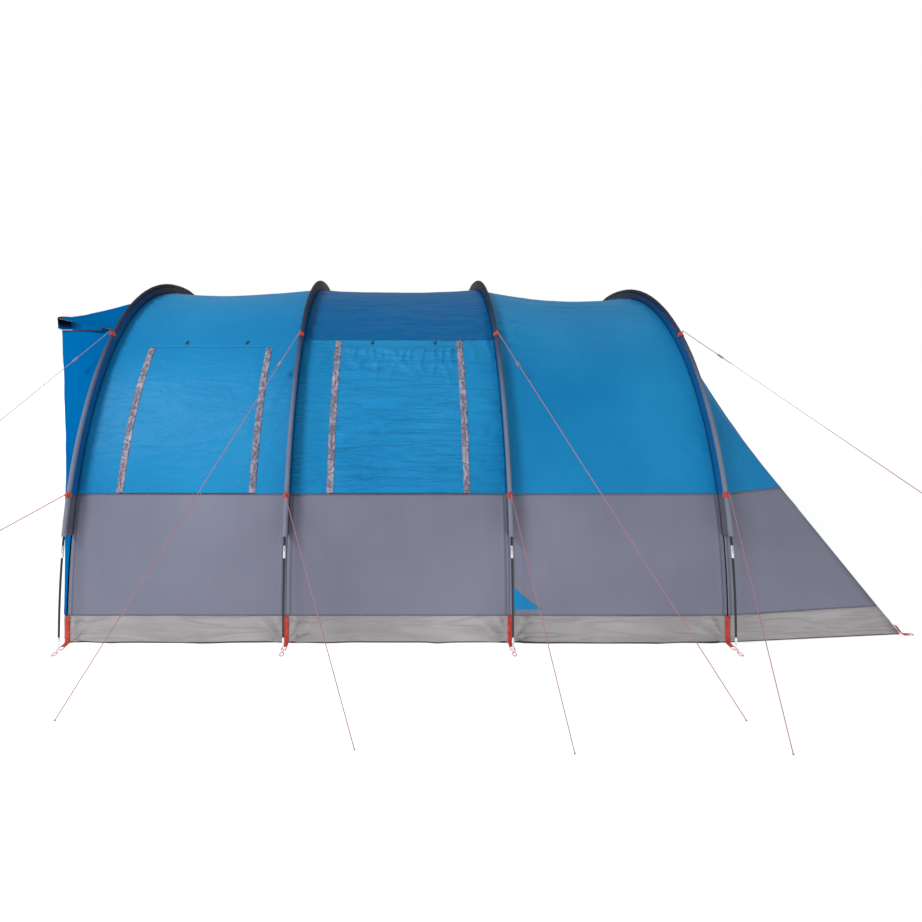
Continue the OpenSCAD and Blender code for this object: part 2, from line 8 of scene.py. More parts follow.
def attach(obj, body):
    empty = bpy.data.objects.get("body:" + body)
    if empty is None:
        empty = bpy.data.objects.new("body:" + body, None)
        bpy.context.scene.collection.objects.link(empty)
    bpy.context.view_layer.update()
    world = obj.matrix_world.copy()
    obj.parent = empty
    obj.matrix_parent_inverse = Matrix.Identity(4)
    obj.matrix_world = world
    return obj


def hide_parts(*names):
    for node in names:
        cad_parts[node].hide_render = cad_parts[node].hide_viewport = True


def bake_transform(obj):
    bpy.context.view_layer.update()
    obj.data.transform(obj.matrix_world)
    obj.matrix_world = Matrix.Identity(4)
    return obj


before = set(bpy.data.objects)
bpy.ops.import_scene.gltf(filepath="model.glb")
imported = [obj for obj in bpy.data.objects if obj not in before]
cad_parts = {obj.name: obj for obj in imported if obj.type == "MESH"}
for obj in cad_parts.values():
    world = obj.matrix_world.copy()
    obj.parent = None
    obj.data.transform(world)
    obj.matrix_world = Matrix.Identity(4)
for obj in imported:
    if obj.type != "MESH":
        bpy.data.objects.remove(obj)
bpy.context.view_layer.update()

# ---------------------------------------------------------------- sizes, in metres, as in the CAD source

ARCH_POWER = 2.2
HOOPS = [-1.8465, -0.7255, 0.4235, 1.5375]
POLE_HALF = 1.6
WALL_HALF = 1.52
POLE_TOP = [1.983, 2.008, 2.008, 1.943]
WALL_TOP = [top - 0.058 for top in POLE_TOP]
BAY_SAG = [0.025, 0.020, 0.050]
SEAM = 0.74
SKIRT = 0.14
WINDOW_TOP = 1.52
COVER_GAP = 0.007
ROOF_SEAM = 1.56
WINDOWS = [(HOOPS[0] + 0.225, HOOPS[0] + 0.925), (HOOPS[1] + 0.214, HOOPS[1] + 0.937)]
SLEEVE_R = 0.012
POLE_R = 0.0055
BOW_R = 0.0045
AWNING_REACH = 0.71
AWNING_HALF = 0.98
AWNING_HEIGHT = 1.62
AWNING_RISE = 0.115
BOW_INSET = 0.018
EDGE_GAP = 0.0066
FRONT_REACH = 0.45
DOOR_HALF = 0.42
DOOR_V = (0.095, 0.865)
REAR_CORNER = 2.4985
REAR_HALF = 1.43
REAR_SEAM = 1.32
LOWER_TAB = 0.754
UPPER_TAB = 1.59
GUY_R = 0.002
KNOT_R = 0.0045
RING_REACH = 0.0325
LOWER_PEGS = [(-3.130, -2.380), (-0.310, -2.355), (0.510, -2.377), (1.317, -2.383)]
UPPER_PEGS = [(-3.180, -2.300), (-1.535, -2.178), (1.260, -2.178), (3.220, -2.380)]

SIDES = ((-1, "right"), (1, "left"))
SEAM_GAP = 0.0006
THREAD_DEPTH = 0.00015
FERRULE = 0.453, 0.513
ACROSS = Vector((1, 0, 0))
UP = Vector((0, 0, 1))

# ---------------------------------------------------------------- curves of the tent


def mix(a, b, t):
    return a + (b - a) * t


def power(v, p):
    return 0.0 if v <= 0 else v ** p


def arch_half(w, h, z):
    return w * power(1 - power(z / h, ARCH_POWER), 1 / ARCH_POWER)


def angle_at(h, z):
    return math.asin(min(1.0, power(z / h, ARCH_POWER / 2)))


def arch_y(w, a):
    return math.copysign(w * power(abs(math.cos(a)), 2 / ARCH_POWER), math.cos(a))


def arch_z(h, a):
    return h * power(abs(math.sin(a)), 2 / ARCH_POWER)


def bay_top(b, x):
    t = (x - HOOPS[b]) / (HOOPS[b + 1] - HOOPS[b])
    return mix(WALL_TOP[b], WALL_TOP[b + 1], t) - 4 * BAY_SAG[b] * t * (1 - t)


def bay_point(b, x, a, out=0.0):
    return Vector((x, arch_y(WALL_HALF + out, a), arch_z(bay_top(b, x) + out, a)))


def pole_point(i, a):
    return Vector((HOOPS[i], arch_y(POLE_HALF, a), arch_z(POLE_TOP[i], a)))


def wall_point(i, a):
    return Vector((HOOPS[i], arch_y(WALL_HALF, a), arch_z(WALL_TOP[i], a)))


def side_angle(h, z, side):
    a = angle_at(h, z)
    return a if side > 0 else math.pi - a


def side_point(b, x, z, side, out=0.0):
    """Point of a bay's side at height z, out from the cloth by out."""
    return bay_point(b, x, side_angle(bay_top(b, x), z, side), out)


def bow_point(a, inset=0.0, drop=0.0):
    return Vector((HOOPS[0] - (AWNING_REACH - inset) * math.sin(a), (AWNING_HALF - inset) * math.cos(a),
                   AWNING_HEIGHT + AWNING_RISE * math.sin(a) - drop))


def bow_outward(a):
    return Vector((-math.sin(a) * AWNING_HALF, math.cos(a) * AWNING_REACH, 0)).normalized()


def front_chord(v):
    spread = AWNING_HALF - BOW_INSET - arch_half(WALL_HALF, WALL_TOP[0], AWNING_HEIGHT)
    return arch_half(WALL_HALF, WALL_TOP[0], v * AWNING_HEIGHT) + spread * v ** 6


def front_point(y, v):
    c = front_chord(v)
    m = 1.3 + 0.7 * v ** 2.5
    depth = FRONT_REACH + (AWNING_REACH - BOW_INSET - FRONT_REACH) * v ** 1.4
    k = min(abs(y) / c, 1)
    rise = math.sqrt(1 - min(abs(y) / (AWNING_HALF - BOW_INSET), 1) ** 2)
    return Vector((HOOPS[0] - EDGE_GAP - (depth - EDGE_GAP) * power(1 - k ** m, 1 / m), y,
                   0.0005 + v * (AWNING_HEIGHT - 0.005 + AWNING_RISE * rise)))


ARCH_SPLIT = angle_at(WALL_TOP[3], REAR_SEAM)


def back_line(k):
    a = mix(math.pi - ARCH_SPLIT, ARCH_SPLIT, k)
    p = wall_point(3, a)
    return p + Vector((EDGE_GAP, 0, 0)), Vector((REAR_CORNER, mix(-REAR_HALF, REAR_HALF, k), 0))


def back_point(k, z):
    top, foot = back_line(k)
    f = (top.z - z) / (top.z - foot.z)
    return top.lerp(foot, f) - Vector((0.588, 0, 0.808)) * 0.07 * f * (1 - f) * math.sin(math.pi * k)


def back_side_point(z, t, side):
    hoop = Vector((HOOPS[3] + EDGE_GAP, side * arch_half(WALL_HALF, WALL_TOP[3], z), z))
    return hoop.lerp(back_point(1 if side > 0 else 0, z), t)


# ---------------------------------------------------------------- camera, floor and light


def make_camera():
    data = bpy.data.cameras.new("camera")
    data.sensor_width = 36
    data.lens = 23.6
    data.shift_x = 0.064
    data.shift_y = -0.120
    data.clip_end = 200
    cam = linked("camera", data)
    cam.location = (-0.1315, -4.62, 1.50)
    cam.rotation_euler = (math.radians(90), 0, 0)
    bpy.context.scene.camera = cam


def area_light(name, place, aim, size, watts):
    data = bpy.data.lights.new(name, "AREA")
    data.shape = "RECTANGLE"
    data.size, data.size_y = size
    data.energy = watts
    light = linked(name, data)
    light.location = place
    light.rotation_euler = (Vector(aim) - Vector(place)).to_track_quat("-Z", "Y").to_euler()


def make_studio():
    bm = bmesh.new()
    bmesh.ops.create_grid(bm, x_segments=4, y_segments=4, size=60)
    bmesh.ops.translate(bm, verts=bm.verts, vec=(0, 0, -0.0005))
    floor = finish_mesh("floor", bm, smooth=False)
    material, tree, shader = principled("pale floor")
    glow = rescaled(tree, object_axes(tree)["Y"], 2.5, 9, 0.55, 1.0)
    put(tree, shader, {"Base Color": (0.9, 0.9, 0.9, 1), "Roughness": 0.9, "Specular IOR Level": 0.05,
                       "Emission Color": (1, 1, 1, 1), "Emission Strength": glow})
    floor.data.materials.append(material)
    world = bpy.data.worlds.new("studio")
    world.use_nodes = True
    tree = world.node_tree
    strength = rescaled(tree, add(tree, "LightPath", {})["Is Camera Ray"], 0, 1, 0.42, 1.0)
    put(tree, tree.nodes["Background"], {"Strength": strength, "Color": (1, 1, 1, 1)})
    bpy.context.scene.world = world
    bpy.context.scene.view_settings.view_transform = "Standard"
    area_light("soft key", (-5.0, -6.0, 6.5), (0, 0, 0.9), (2.4, 1.8), 380)
    area_light("top fill", (1.5, 1.5, 7.5), (0, 0, 1), (6, 4), 40)


# ---------------------------------------------------------------- mesh helpers


def linked(name, data):
    obj = bpy.data.objects.new(name, data)
    bpy.context.scene.collection.objects.link(obj)
    return obj


def finish_mesh(name, bm, smooth=True):
    mesh = bpy.data.meshes.new(name)
    bm.to_mesh(mesh)
    bm.free()
    for face in mesh.polygons:
        face.use_smooth = smooth
    return linked(name, mesh)


def add_solidify(obj, thickness, offset=-1.0):
    modifier = obj.modifiers.new("cloth thickness", "SOLIDIFY")
    modifier.thickness = thickness
    modifier.offset = offset
    modifier.use_even_offset = False
    modifier.use_quality_normals = True


def cloth_grid(name, us, vs, place, relief=None, skip=None, flip=False, thickness=0.0012, finish=None):
    """A cloth panel: a grid whose point for (u, v) is place(u, v), pushed out by relief(point, u, v).
    skip and finish take a cell's column and row: skip says that it is cut away, finish gives its material."""
    nu, nv = len(us) - 1, len(vs) - 1
    bm = bmesh.new()
    bmesh.ops.create_grid(bm, x_segments=nu, y_segments=nv, size=0.5)
    uv = bm.loops.layers.uv.new("cloth")
    index = {}
    for v in bm.verts:
        i, j = round((v.co.x + 0.5) * nu), round((v.co.y + 0.5) * nv)
        index[v] = (i, j)
        v.co = place(us[i], vs[j])
    length_u = sum((place(us[i + 1], vs[nv // 2]) - place(us[i], vs[nv // 2])).length for i in range(nu))
    length_v = sum((place(us[nu // 2], vs[j + 1]) - place(us[nu // 2], vs[j])).length for j in range(nv))
    for face in bm.faces:
        for loop in face.loops:
            i, j = index[loop.vert]
            loop[uv].uv = (i / nu * length_u, j / nv * length_v)
    if flip:
        bmesh.ops.reverse_faces(bm, faces=bm.faces)
    cells = {f: [min(index[v][k] for v in f.verts) for k in (0, 1)] for f in bm.faces}
    if finish:
        for face, cell in cells.items():
            face.material_index = finish(*cell)
    if skip:
        bmesh.ops.delete(bm, geom=[f for f, cell in cells.items() if skip(*cell)], context="FACES")
    area = sum(f.calc_area() for f in bm.faces)
    bm.normal_update()
    if relief:
        moves = {v: v.normal * relief(v.co, us[index[v][0]], vs[index[v][1]]) for v in bm.verts if v in index}
        for v, move in moves.items():
            v.co += move
    obj = finish_mesh(name, bm)
    if thickness:
        add_solidify(obj, thickness)
    obj["cut"] = (round(length_u, 3), round(length_v, 3), area)
    return obj


def spaced(a, b, n):
    return [mix(a, b, i / n) for i in range(n + 1)]


def chained(*parts):
    out = list(parts[0])
    for part in parts[1:]:
        out += list(part)[1:]
    return out


def tube(name, points, r, material, cyclic=False, sides=12, keep_curve=False):
    data = bpy.data.curves.new(name, "CURVE")
    data.dimensions = "3D"
    data.bevel_depth = r
    data.bevel_resolution = max(1, sides // 4 - 1)
    data.use_fill_caps = True
    spline = data.splines.new("POLY")
    spline.points.add(len(points) - 1)
    for p, co in zip(spline.points, points):
        p.co = (*co, 1)
    spline.use_cyclic_u = cyclic
    spline.use_smooth = True
    obj = linked(name, data)
    if not keep_curve:
        bpy.context.view_layer.update()
        mesh = bpy.data.meshes.new_from_object(obj)
        mesh.name = name
        bpy.data.objects.remove(obj)
        obj = linked(name, mesh)
    obj.data.materials.append(material)
    return obj


def joined(name, objs):
    """One piece from several meshes."""
    bm = bmesh.new()
    materials = []
    for obj in objs:
        for m in obj.data.materials:
            if m not in materials:
                materials.append(m)
        bpy.context.view_layer.update()
        mesh = bpy.data.meshes.new_from_object(obj.evaluated_get(bpy.context.evaluated_depsgraph_get()))
        slots = [materials.index(m) for m in mesh.materials] or [0]
        for face in mesh.polygons:
            face.material_index = slots[min(face.material_index, len(slots) - 1)]
        bm.from_mesh(mesh)
        bpy.data.objects.remove(obj)
    mesh = bpy.data.meshes.new(name)
    bm.to_mesh(mesh)
    bm.free()
    for m in materials:
        mesh.materials.append(m)
    return linked(name, mesh)


def fitted(obj, body, slot, *nodes_stood_for):
    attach(obj, body)
    if nodes_stood_for:
        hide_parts(*nodes_stood_for)
    return obj


def sheet_of(obj, material, body, slot, held, rests_on, *nodes_stood_for):
    obj.data.materials.append(material)
    fitted(obj, body, slot, *nodes_stood_for)
    width, length, area = obj["cut"]
    min(area, width * length)


# ---------------------------------------------------------------- materials


def new_group(name, inputs, outputs):
    group = bpy.data.node_groups.new(name, "ShaderNodeTree")
    for label, value in inputs:
        socket = group.interface.new_socket(label, in_out="INPUT", socket_type="NodeSocketFloat")
        socket.default_value = value
    for label in outputs:
        group.interface.new_socket(label, in_out="OUTPUT", socket_type="NodeSocketFloat")
    return group, group.nodes.new("NodeGroupInput"), group.nodes.new("NodeGroupOutput")


def put(tree, target, values):
    """Link each input that is given a socket, and set each that is given a value."""
    for key, value in values.items():
        if isinstance(value, bpy.types.NodeSocket):
            tree.links.new(value, target.inputs[key])
        else:
            target.inputs[key].default_value = value
    return target


def add(tree, kind, values, **settings):
    """New shader node, with its settings made before its inputs are filled; gives its outputs."""
    made = tree.nodes.new("ShaderNode" + kind)
    for key, value in settings.items():
        setattr(made, key, value)
    return put(tree, made, values).outputs


def maths(tree, operation, *values):
    return add(tree, "Math", dict(enumerate(values)), operation=operation)[0]


def object_place(tree):
    return add(tree, "TexCoord", {})["Object"]


def object_axes(tree):
    return add(tree, "SeparateXYZ", {0: object_place(tree)})


def cloth_axes(tree):
    """Metres across and along the cloth, from its flat layout."""
    return add(tree, "SeparateXYZ", {0: add(tree, "UVMap", {}, uv_map="cloth")["UV"]})


def rescaled(tree, value, start, end, low=0.0, high=1.0):
    return add(tree, "MapRange", {"Value": value, "From Min": start, "From Max": end,
                                  "To Min": low, "To Max": high})["Result"]


def crease_lines(tree, fold, sharpness):
    """Valleys along the lines where a noise crosses its middle."""
    return maths(tree, "POWER", maths(tree, "ABSOLUTE", maths(tree, "SUBTRACT", fold, 0.5)), sharpness)


def woven_group():
    """Coated tent cloth: uneven tone over the panel, fine threads, and soft creases."""
    tree, source, out = new_group("tent cloth", [("Thread", 900.0), ("Crease Size", 6.0), ("Tone Size", 1.3)],
                                  ["Tone", "Threads", "Creases"])
    place = object_place(tree)
    broad = add(tree, "TexNoise", {"Detail": 3, "Scale": source.outputs["Tone Size"], "Vector": place})
    cut = cloth_axes(tree)
    across, along = [maths(tree, "SINE", maths(tree, "MULTIPLY", cut[axis], source.outputs["Thread"]))
                     for axis in (0, 1)]
    fold = add(tree, "TexNoise", {"Detail": 4, "Roughness": 0.55, "Distortion": 0.6,
                                  "Scale": source.outputs["Crease Size"], "Vector": place})
    put(tree, out, {"Tone": broad["Fac"], "Threads": maths(tree, "ADD", across, along),
                    "Creases": crease_lines(tree, fold["Fac"], 0.7)})
    return tree


def pulled_group():
    """Creases drawn out one way: Across sets how many side by side, Upward how many one above another."""
    tree, source, out = new_group("pulled creases", [("Across", 4.0), ("Upward", 30.0)], ["Creases"])
    axes = object_axes(tree)
    drawn = add(tree, "CombineXYZ", {axis: maths(tree, "MULTIPLY", axes[axis], source.outputs[amount])
                                     for axis, amount in (("X", "Across"), ("Y", "Across"), ("Z", "Upward"))})
    fold = add(tree, "TexNoise", {"Scale": 1, "Detail": 3, "Distortion": 0.8, "Vector": drawn["Vector"]})
    put(tree, out, {"Creases": crease_lines(tree, fold["Fac"], 0.6)})
    return tree


def hoop_shade_group():
    """Mask of painted shade: 1 on the two narrow folds that stand beside each hoop, 0 elsewhere."""
    tree, source, out = new_group("hoop fold shade", [("Away", 0.021), ("Width", 0.009)], ["Fold Shade"])
    along = object_axes(tree)["X"]
    nearest = None
    for x in HOOPS:
        gap = maths(tree, "ABSOLUTE", maths(tree, "SUBTRACT", along, x))
        nearest = gap if nearest is None else maths(tree, "MINIMUM", nearest, gap)
    off = maths(tree, "ABSOLUTE", maths(tree, "SUBTRACT", nearest, source.outputs["Away"]))
    level = maths(tree, "SUBTRACT", 1.0, maths(tree, "DIVIDE", off, source.outputs["Width"]))
    put(tree, out, {"Fold Shade": maths(tree, "MAXIMUM", level, 0.0)})
    return tree


def principled(name):
    material = bpy.data.materials.new(name)
    material.use_nodes = True
    return material, material.node_tree, material.node_tree.nodes["Principled BSDF"]


def srgb(r, g, b):
    return tuple(((c / 255 + 0.055) / 1.055) ** 2.4 if c > 10.3 else c / 255 / 12.92 for c in (r, g,
                                                                                               b)) + (1,)


def ramp(tree, fac, stops):
    node = tree.nodes.new("ShaderNodeValToRGB")
    while len(node.color_ramp.elements) < len(stops):
        node.color_ramp.elements.new(0.5)
    for element, (at, colour) in zip(node.color_ramp.elements, stops):
        element.position = at
        element.color = colour
    return put(tree, node, {"Fac": fac}).outputs["Color"]


def mixed(tree, amount, colour, tint):
    return add(tree, "Mix", {"Factor": amount, "A": colour, "B": tint}, data_type="RGBA")["Result"]


def bumps(tree, shader, layers):
    """Chained bumps from (height socket, distance in metres, strength)."""
    below = {}
    for height, distance, strength in layers:
        made = add(tree, "Bump", {"Distance": distance, "Strength": strength, "Height": height, **below})
        below = {"Normal": made["Normal"]}
    put(tree, shader, below)


def woven_heights(woven, crease_depth, strength=0.5):
    return [(woven["Creases"], crease_depth, strength), (woven["Threads"], THREAD_DEPTH, 0.25)]


def cloth_material(name, low, high, crease=6.0, crease_depth=0.004, roughness=0.5, bands=(), tone=1.3,
                   pulled=None, crease_shade_tint=None, hoop_shade=None, gloss=0.1):
    """bands lists (bottom, top, colour) by height; pulled is (across, upward, depth) of drawn-out creases,
    and the crease tint (colour, amount) paints shade into those creases.
    """
    material, tree, shader = principled(name)
    woven = add(tree, "Group", {"Crease Size": crease, "Tone Size": tone}, node_tree=WOVEN)
    colour = ramp(tree, woven["Tone"], [(0.3, low), (0.7, high)])
    heights = woven_heights(woven, crease_depth)
    if pulled:
        across, upward, depth = pulled
        drawn = add(tree, "Group", {"Across": across, "Upward": upward}, node_tree=PULLED)
        heights.insert(0, (drawn["Creases"], depth, 0.8))
        # Painted shade: the drawn-out creases are darkened towards the crease tint.
        if crease_shade_tint:
            line = rescaled(tree, drawn["Creases"], 0.08, 0.30, crease_shade_tint[1], 0.0)
            colour = mixed(tree, line, colour, crease_shade_tint[0])
    # Painted shade: the folds beside each hoop are darkened as if in the hoops' shadow.
    if hoop_shade:
        painted_fold_shade = add(tree, "Group", {}, node_tree=HOOP_SHADE)
        colour = mixed(tree, maths(tree, "MULTIPLY", painted_fold_shade["Fold Shade"], 0.55), colour, hoop_shade)
    for bottom, top, tint in bands:
        height = object_axes(tree)["Z"]
        inside = maths(tree, "MULTIPLY", maths(tree, "GREATER_THAN", height, bottom),
                       maths(tree, "LESS_THAN", height, top))
        colour = mixed(tree, inside, colour, tint)
    rough = rescaled(tree, woven["Creases"], 0, 1, roughness - 0.08, roughness + 0.08)
    put(tree, shader, {"Base Color": colour, "Roughness": rough, "Specular IOR Level": gloss})
    bumps(tree, shader, heights)
    return material


def zoned_material(name, zones):
    """Sleeve cloth whose colour follows height, as the panels beside it do."""
    material, tree, shader = principled(name)
    woven = add(tree, "Group", {"Crease Size": 18, "Tone Size": 14}, node_tree=WOVEN)
    low, high = 0.5, 2.02
    level = rescaled(tree, object_axes(tree)["Z"], low, high)
    colour = ramp(tree, level, [((z - low) / (high - low), tint) for z, tint in zones])
    worn = maths(tree, "MULTIPLY", woven["Tone"], 0.3)
    put(tree, shader, {"Base Color": mixed(tree, worn, colour, (0.01, 0.012, 0.02, 1)), "Roughness": 0.55,
                       "Specular IOR Level": 0.25})
    bumps(tree, shader, woven_heights(woven, 0.006, 0.6))
    return material


def band_material():
    """Awning band: nearly black where it is sewn to the sleeve, blue at its hem and towards the hoop; the
    near-black is its dark lining with painted shade from the sleeve added.
    """
    material, tree, shader = principled("awning band cloth with painted shade")
    fall = maths(tree, "DIVIDE", cloth_axes(tree)["Y"], 0.06)
    # Painted shade: the colour darkens towards the sleeve, over the band's own dark lining colour.
    colour = ramp(tree, fall, [(0.45, srgb(5, 8, 20)), (0.75, srgb(4, 30, 66)), (1.0, srgb(2, 66, 120))])
    back = rescaled(tree, object_axes(tree)["X"], HOOPS[0] - 0.34, HOOPS[0] - 0.22)
    woven = add(tree, "Group", {"Crease Size": 12}, node_tree=WOVEN)
    put(tree, shader, {"Base Color": mixed(tree, back, colour, srgb(4, 92, 152)), "Roughness": 0.6,
                       "Specular IOR Level": 0.0})
    bumps(tree, shader, woven_heights(woven, 0.004))
    return material


def grained(tree, stops, values):
    """Noise over the object, and the colour that it gives between two tones."""
    grain = add(tree, "TexNoise", {"Vector": object_place(tree), **values})["Fac"]
    return grain, ramp(tree, grain, stops)


def webbing_material(name, low, high):
    material, tree, shader = principled(name)
    wave = add(tree, "TexWave", {"Scale": 160, "Distortion": 1.5, "Vector": object_place(tree)},
               bands_direction="DIAGONAL")
    _, colour = grained(tree, [(0.35, low), (0.65, high)], {"Scale": 60})
    put(tree, shader, {"Base Color": colour, "Roughness": 0.7, "Sheen Weight": 0.3})
    bumps(tree, shader, [(wave["Fac"], 0.0006, 0.6)])
    return material


def pole_material(name, colour, roughness, grain):
    """Drawn rod: fine noise in its tone, roughness and surface."""
    material, tree, shader = principled(name)
    low = tuple(c * 0.7 for c in colour[:3]) + (1,)
    high = tuple(min(1, c * 1.35 + 0.004) for c in colour[:3]) + (1,)
    streak, tone = grained(tree, [(0.35, low), (0.65, high)], {"Scale": grain, "Detail": 5})
    rough = rescaled(tree, streak, 0, 1, roughness - 0.1, roughness + 0.12)
    put(tree, shader, {"Base Color": tone, "Roughness": rough})
    bumps(tree, shader, [(streak, 0.0002, 0.3)])
    return material


def metal_material():
    material = pole_material("satin ferrule metal", (0.72, 0.73, 0.76, 1), 0.32, 240)
    material.node_tree.nodes["Principled BSDF"].inputs["Metallic"].default_value = 0.85
    return material


def guyline_material(name, low, high):
    """Braided cord with fine pale flecks."""
    material, tree, shader = principled(name)
    fleck, tone = grained(tree, [(0.4, low), (0.6, high)], {"Scale": 420, "Detail": 1})
    put(tree, shader, {"Base Color": tone, "Roughness": 0.75, "Specular IOR Level": 0.2})
    bumps(tree, shader, [(fleck, 0.0005, 0.6)])
    return material


def clear_film_material():
    """Flexible window film: clear, faintly wavy and a little cloudy."""
    material, tree, shader = principled("clear window film")
    wavy, tone = grained(tree, [(0.3, srgb(176, 190, 200)), (0.7, srgb(205, 214, 220))], {"Scale": 7})
    put(tree, shader, {"Base Color": tone, "Alpha": rescaled(tree, wavy, 0, 1, 0.28, 0.42), "Roughness": 0.08,
                       "Specular IOR Level": 0.6})
    bumps(tree, shader, [(wavy, 0.006, 0.35)])
    return material


WOVEN = woven_group()
PULLED = pulled_group()
HOOP_SHADE = hoop_shade_group()
BLUE = cloth_material("blue canopy cloth", srgb(20, 126, 184), srgb(32, 140, 196), pulled=(5, 14, 0.006))
BLUE_MIDDLE = cloth_material("blue canopy cloth, middle bay", srgb(18, 124, 182), srgb(30, 140, 196),
                             pulled=(4, 26, 0.014), bands=[(ROOF_SEAM, 9, srgb(4, 98, 156))])
# Its crease tint paints shade into the drawn-out creases.
BLUE_COVER = cloth_material("blue window cover cloth", srgb(24, 130, 188), srgb(36, 144, 202), crease=10,
                            crease_depth=0.006, pulled=(3, 30, 0.018), crease_shade_tint=(srgb(14, 112, 168), 0.16))
BLUE_FRONT = cloth_material("blue front cloth", srgb(0, 96, 160), srgb(1, 108, 174), gloss=0.0)
# The hoop colour here is painted shade on the folds beside the hoops.
GREY = cloth_material("grey wall cloth", srgb(118, 120, 138), srgb(132, 134, 152), crease=3,
                      crease_depth=0.002,
                      hoop_shade=srgb(62, 64, 80))
# Its crease tint paints shade into the drawn-out creases.
PALE = cloth_material("pale skirt cloth", srgb(154, 151, 152), srgb(181, 177, 179), crease=4,
                      crease_depth=0.007,
                      pulled=(2, 14, 0.014), crease_shade_tint=(srgb(128, 124, 126),
                                                          0.25), bands=[(-1, 0.007, srgb(66, 66, 70))])
SLEEVE = zoned_material("sleeve cloth",
                        [(0.5, srgb(140, 142, 158)), (1.2, srgb(112, 124, 150)), (1.62, srgb(52, 62, 92)),
                                         (1.78, srgb(26, 36, 58)), (1.99, srgb(12, 16, 28))])
FIN = zoned_material("sleeve fin cloth", [(0.5, srgb(112, 113, 126)), (SEAM - 0.001, srgb(104, 105, 118)),
                                          (SEAM + 0.001, srgb(14, 106, 168)), (1.6, srgb(12, 98, 158)),
                                          (1.84, srgb(12, 62, 108)), (1.93, srgb(20, 34, 58))])
AWNING_DARK = cloth_material("dark awning edge cloth", srgb(12, 18, 34), srgb(22, 30, 50), crease=14,
                             crease_depth=0.003)
BAND = band_material()
# Its crease tint paints shade into the drawn-out creases.
STRIP = cloth_material("silvery strip cloth", srgb(146, 138, 156), srgb(180, 172, 186), crease=18,
                       crease_depth=0.006,
                       tone=8, pulled=(22, 20, 0.014), crease_shade_tint=(srgb(66, 70, 96), 0.65), gloss=0.3)
GROUND = cloth_material("groundsheet cloth", srgb(58, 60, 70), srgb(78, 80, 92), crease=4, crease_depth=0.003)
PIPING = webbing_material("seam piping", srgb(104, 92, 112), srgb(128, 112, 130))
SEAM_PINK = webbing_material("dusty pink edge binding", srgb(128, 84, 106), srgb(158, 108, 128))
ZIP = webbing_material("zip tape", srgb(34, 40, 56), srgb(54, 62, 80))
RED = webbing_material("red webbing", srgb(176, 34, 20), srgb(214, 56, 32))
RED_THREAD = webbing_material("dark red stitching", srgb(120, 14, 10), srgb(150, 30, 20))
GREY_THREAD = webbing_material("grey stitching", srgb(92, 94, 110), srgb(110, 112, 128))
FIBREGLASS = pole_material("black fibreglass", (0.012, 0.012, 0.014, 1), 0.35, 120)
PALE_ROD = pole_material("pale fibreglass", srgb(150, 156, 168), 0.4, 120)
METAL = metal_material()
LINE = guyline_material("flecked guyline braid", srgb(168, 108, 122), srgb(186, 142, 152))
LINE_RED = guyline_material("red guyline braid", srgb(160, 40, 62), srgb(186, 76, 92))
RUNNER = pole_material("moulded runner plastic", srgb(140, 134, 142), 0.5, 200)
TOGGLE = pole_material("dark toggle plastic", (0.02, 0.02, 0.025, 1), 0.45, 200)
FILM = clear_film_material()

# ---------------------------------------------------------------- cloth relief


def waves(p, scale, seed):
    return noise.noise(Vector((p.x * scale[0] + seed, p.y * scale[1] - seed, p.z * scale[2] + 2 * seed)))


def ridges(p, scale, seed):
    return 1 - min(1, abs(waves(p, scale, seed)) * 2.6)


def pleats(p, scale, seed):
    """Narrow sharp folds with flat cloth between them."""
    return (1 - min(1, abs(waves(p, scale, seed)) * 3.4)) ** 2


def near(value, at, width):
    return math.exp(-((value - at) / width) ** 2)


def canopy_relief(b):
    """Broad slackness, puckers along the sleeve seams and short pulls from the guyline tabs."""
    a, z = HOOPS[b], HOOPS[b + 1]

    def relief(p, u, v):
        edge = min(p.x - a, z - p.x)
        fixed = min(1, edge / 0.04) * min(1, max(0, p.z - SEAM) / 0.04)
        if b < 2:
            x0, x1 = WINDOWS[b]
            gap = math.hypot(max(x0 - p.x, 0, p.x - x1), max(0, p.z - WINDOW_TOP))
            fixed *= min(1, max(0, gap - 0.024) / 0.04)
        d = 0.007 * waves(p, (2.2, 2.2, 2.2), 3 + b) + 0.0014 * waves(p, (7, 3, 3), 9 + b)
        d += 0.004 * pleats(p, (3, 14, 14), 5 + b) * near(edge, 0.03, 0.09)
        if b == 1:
            d += 0.006 * pleats(p, (3, 13, 13), 8) * near(p.z, 1.70, 0.16)
            d += 0.012 * pleats(p, (11, 7, 9), 2) * near(p.z, 1.50, 0.07)
            d += 0.010 * pleats(p, (5, 17, 17), 2) * near(edge, 0.10, 0.09) * near(p.z, 1.1, 0.4) * (p.x > 0)
            d += 0.010 * pleats(p, (6, 12, 12), 5) * near(p.x, a + 0.14, 0.1) * near(p.z, 1.5, 0.12)
        if b == 2:
            pull = near(p.x, a + 0.12, 0.16) * near(p.z, 1.57, 0.14)
            d += 0.014 * pleats(p, (5, 17, 17), 4) * pull
            d += 0.006 * pleats(p, (2, 10, 10), 6) * near(p.z, 1.78, 0.12)
        if b == 0:
            d += 0.008 * pleats(p, (3, 11, 11), 6) * near(p.z, 1.80, 0.1) * near(p.x, a + 0.15, 0.25)
        return d * fixed
    return relief


def wall_relief(seed, patch=False):
    """Soft slack, with a narrow standing fold on each side of every hoop."""
    def relief(p, u, v):
        rim = max(0, min(1, (p.z - SKIRT) / 0.04, (SEAM - p.z) / 0.04))
        if patch:
            gap = math.hypot(max(0, p.x - HOOPS[2] - 0.15), max(0, p.z - 0.29))
            rim *= min(1, gap / 0.06)
        edge = min(abs(p.x - x) for x in HOOPS)
        d = 0.005 * waves(p, (1.6, 1.6, 1.2), seed) + 0.0012 * ridges(p, (9, 3, 2), seed + 3)
        return rim * (d + 0.007 * near(edge, 0.021, 0.010) * (0.6 + 0.4 * waves(p, (2, 2, 5), seed)))
    return relief


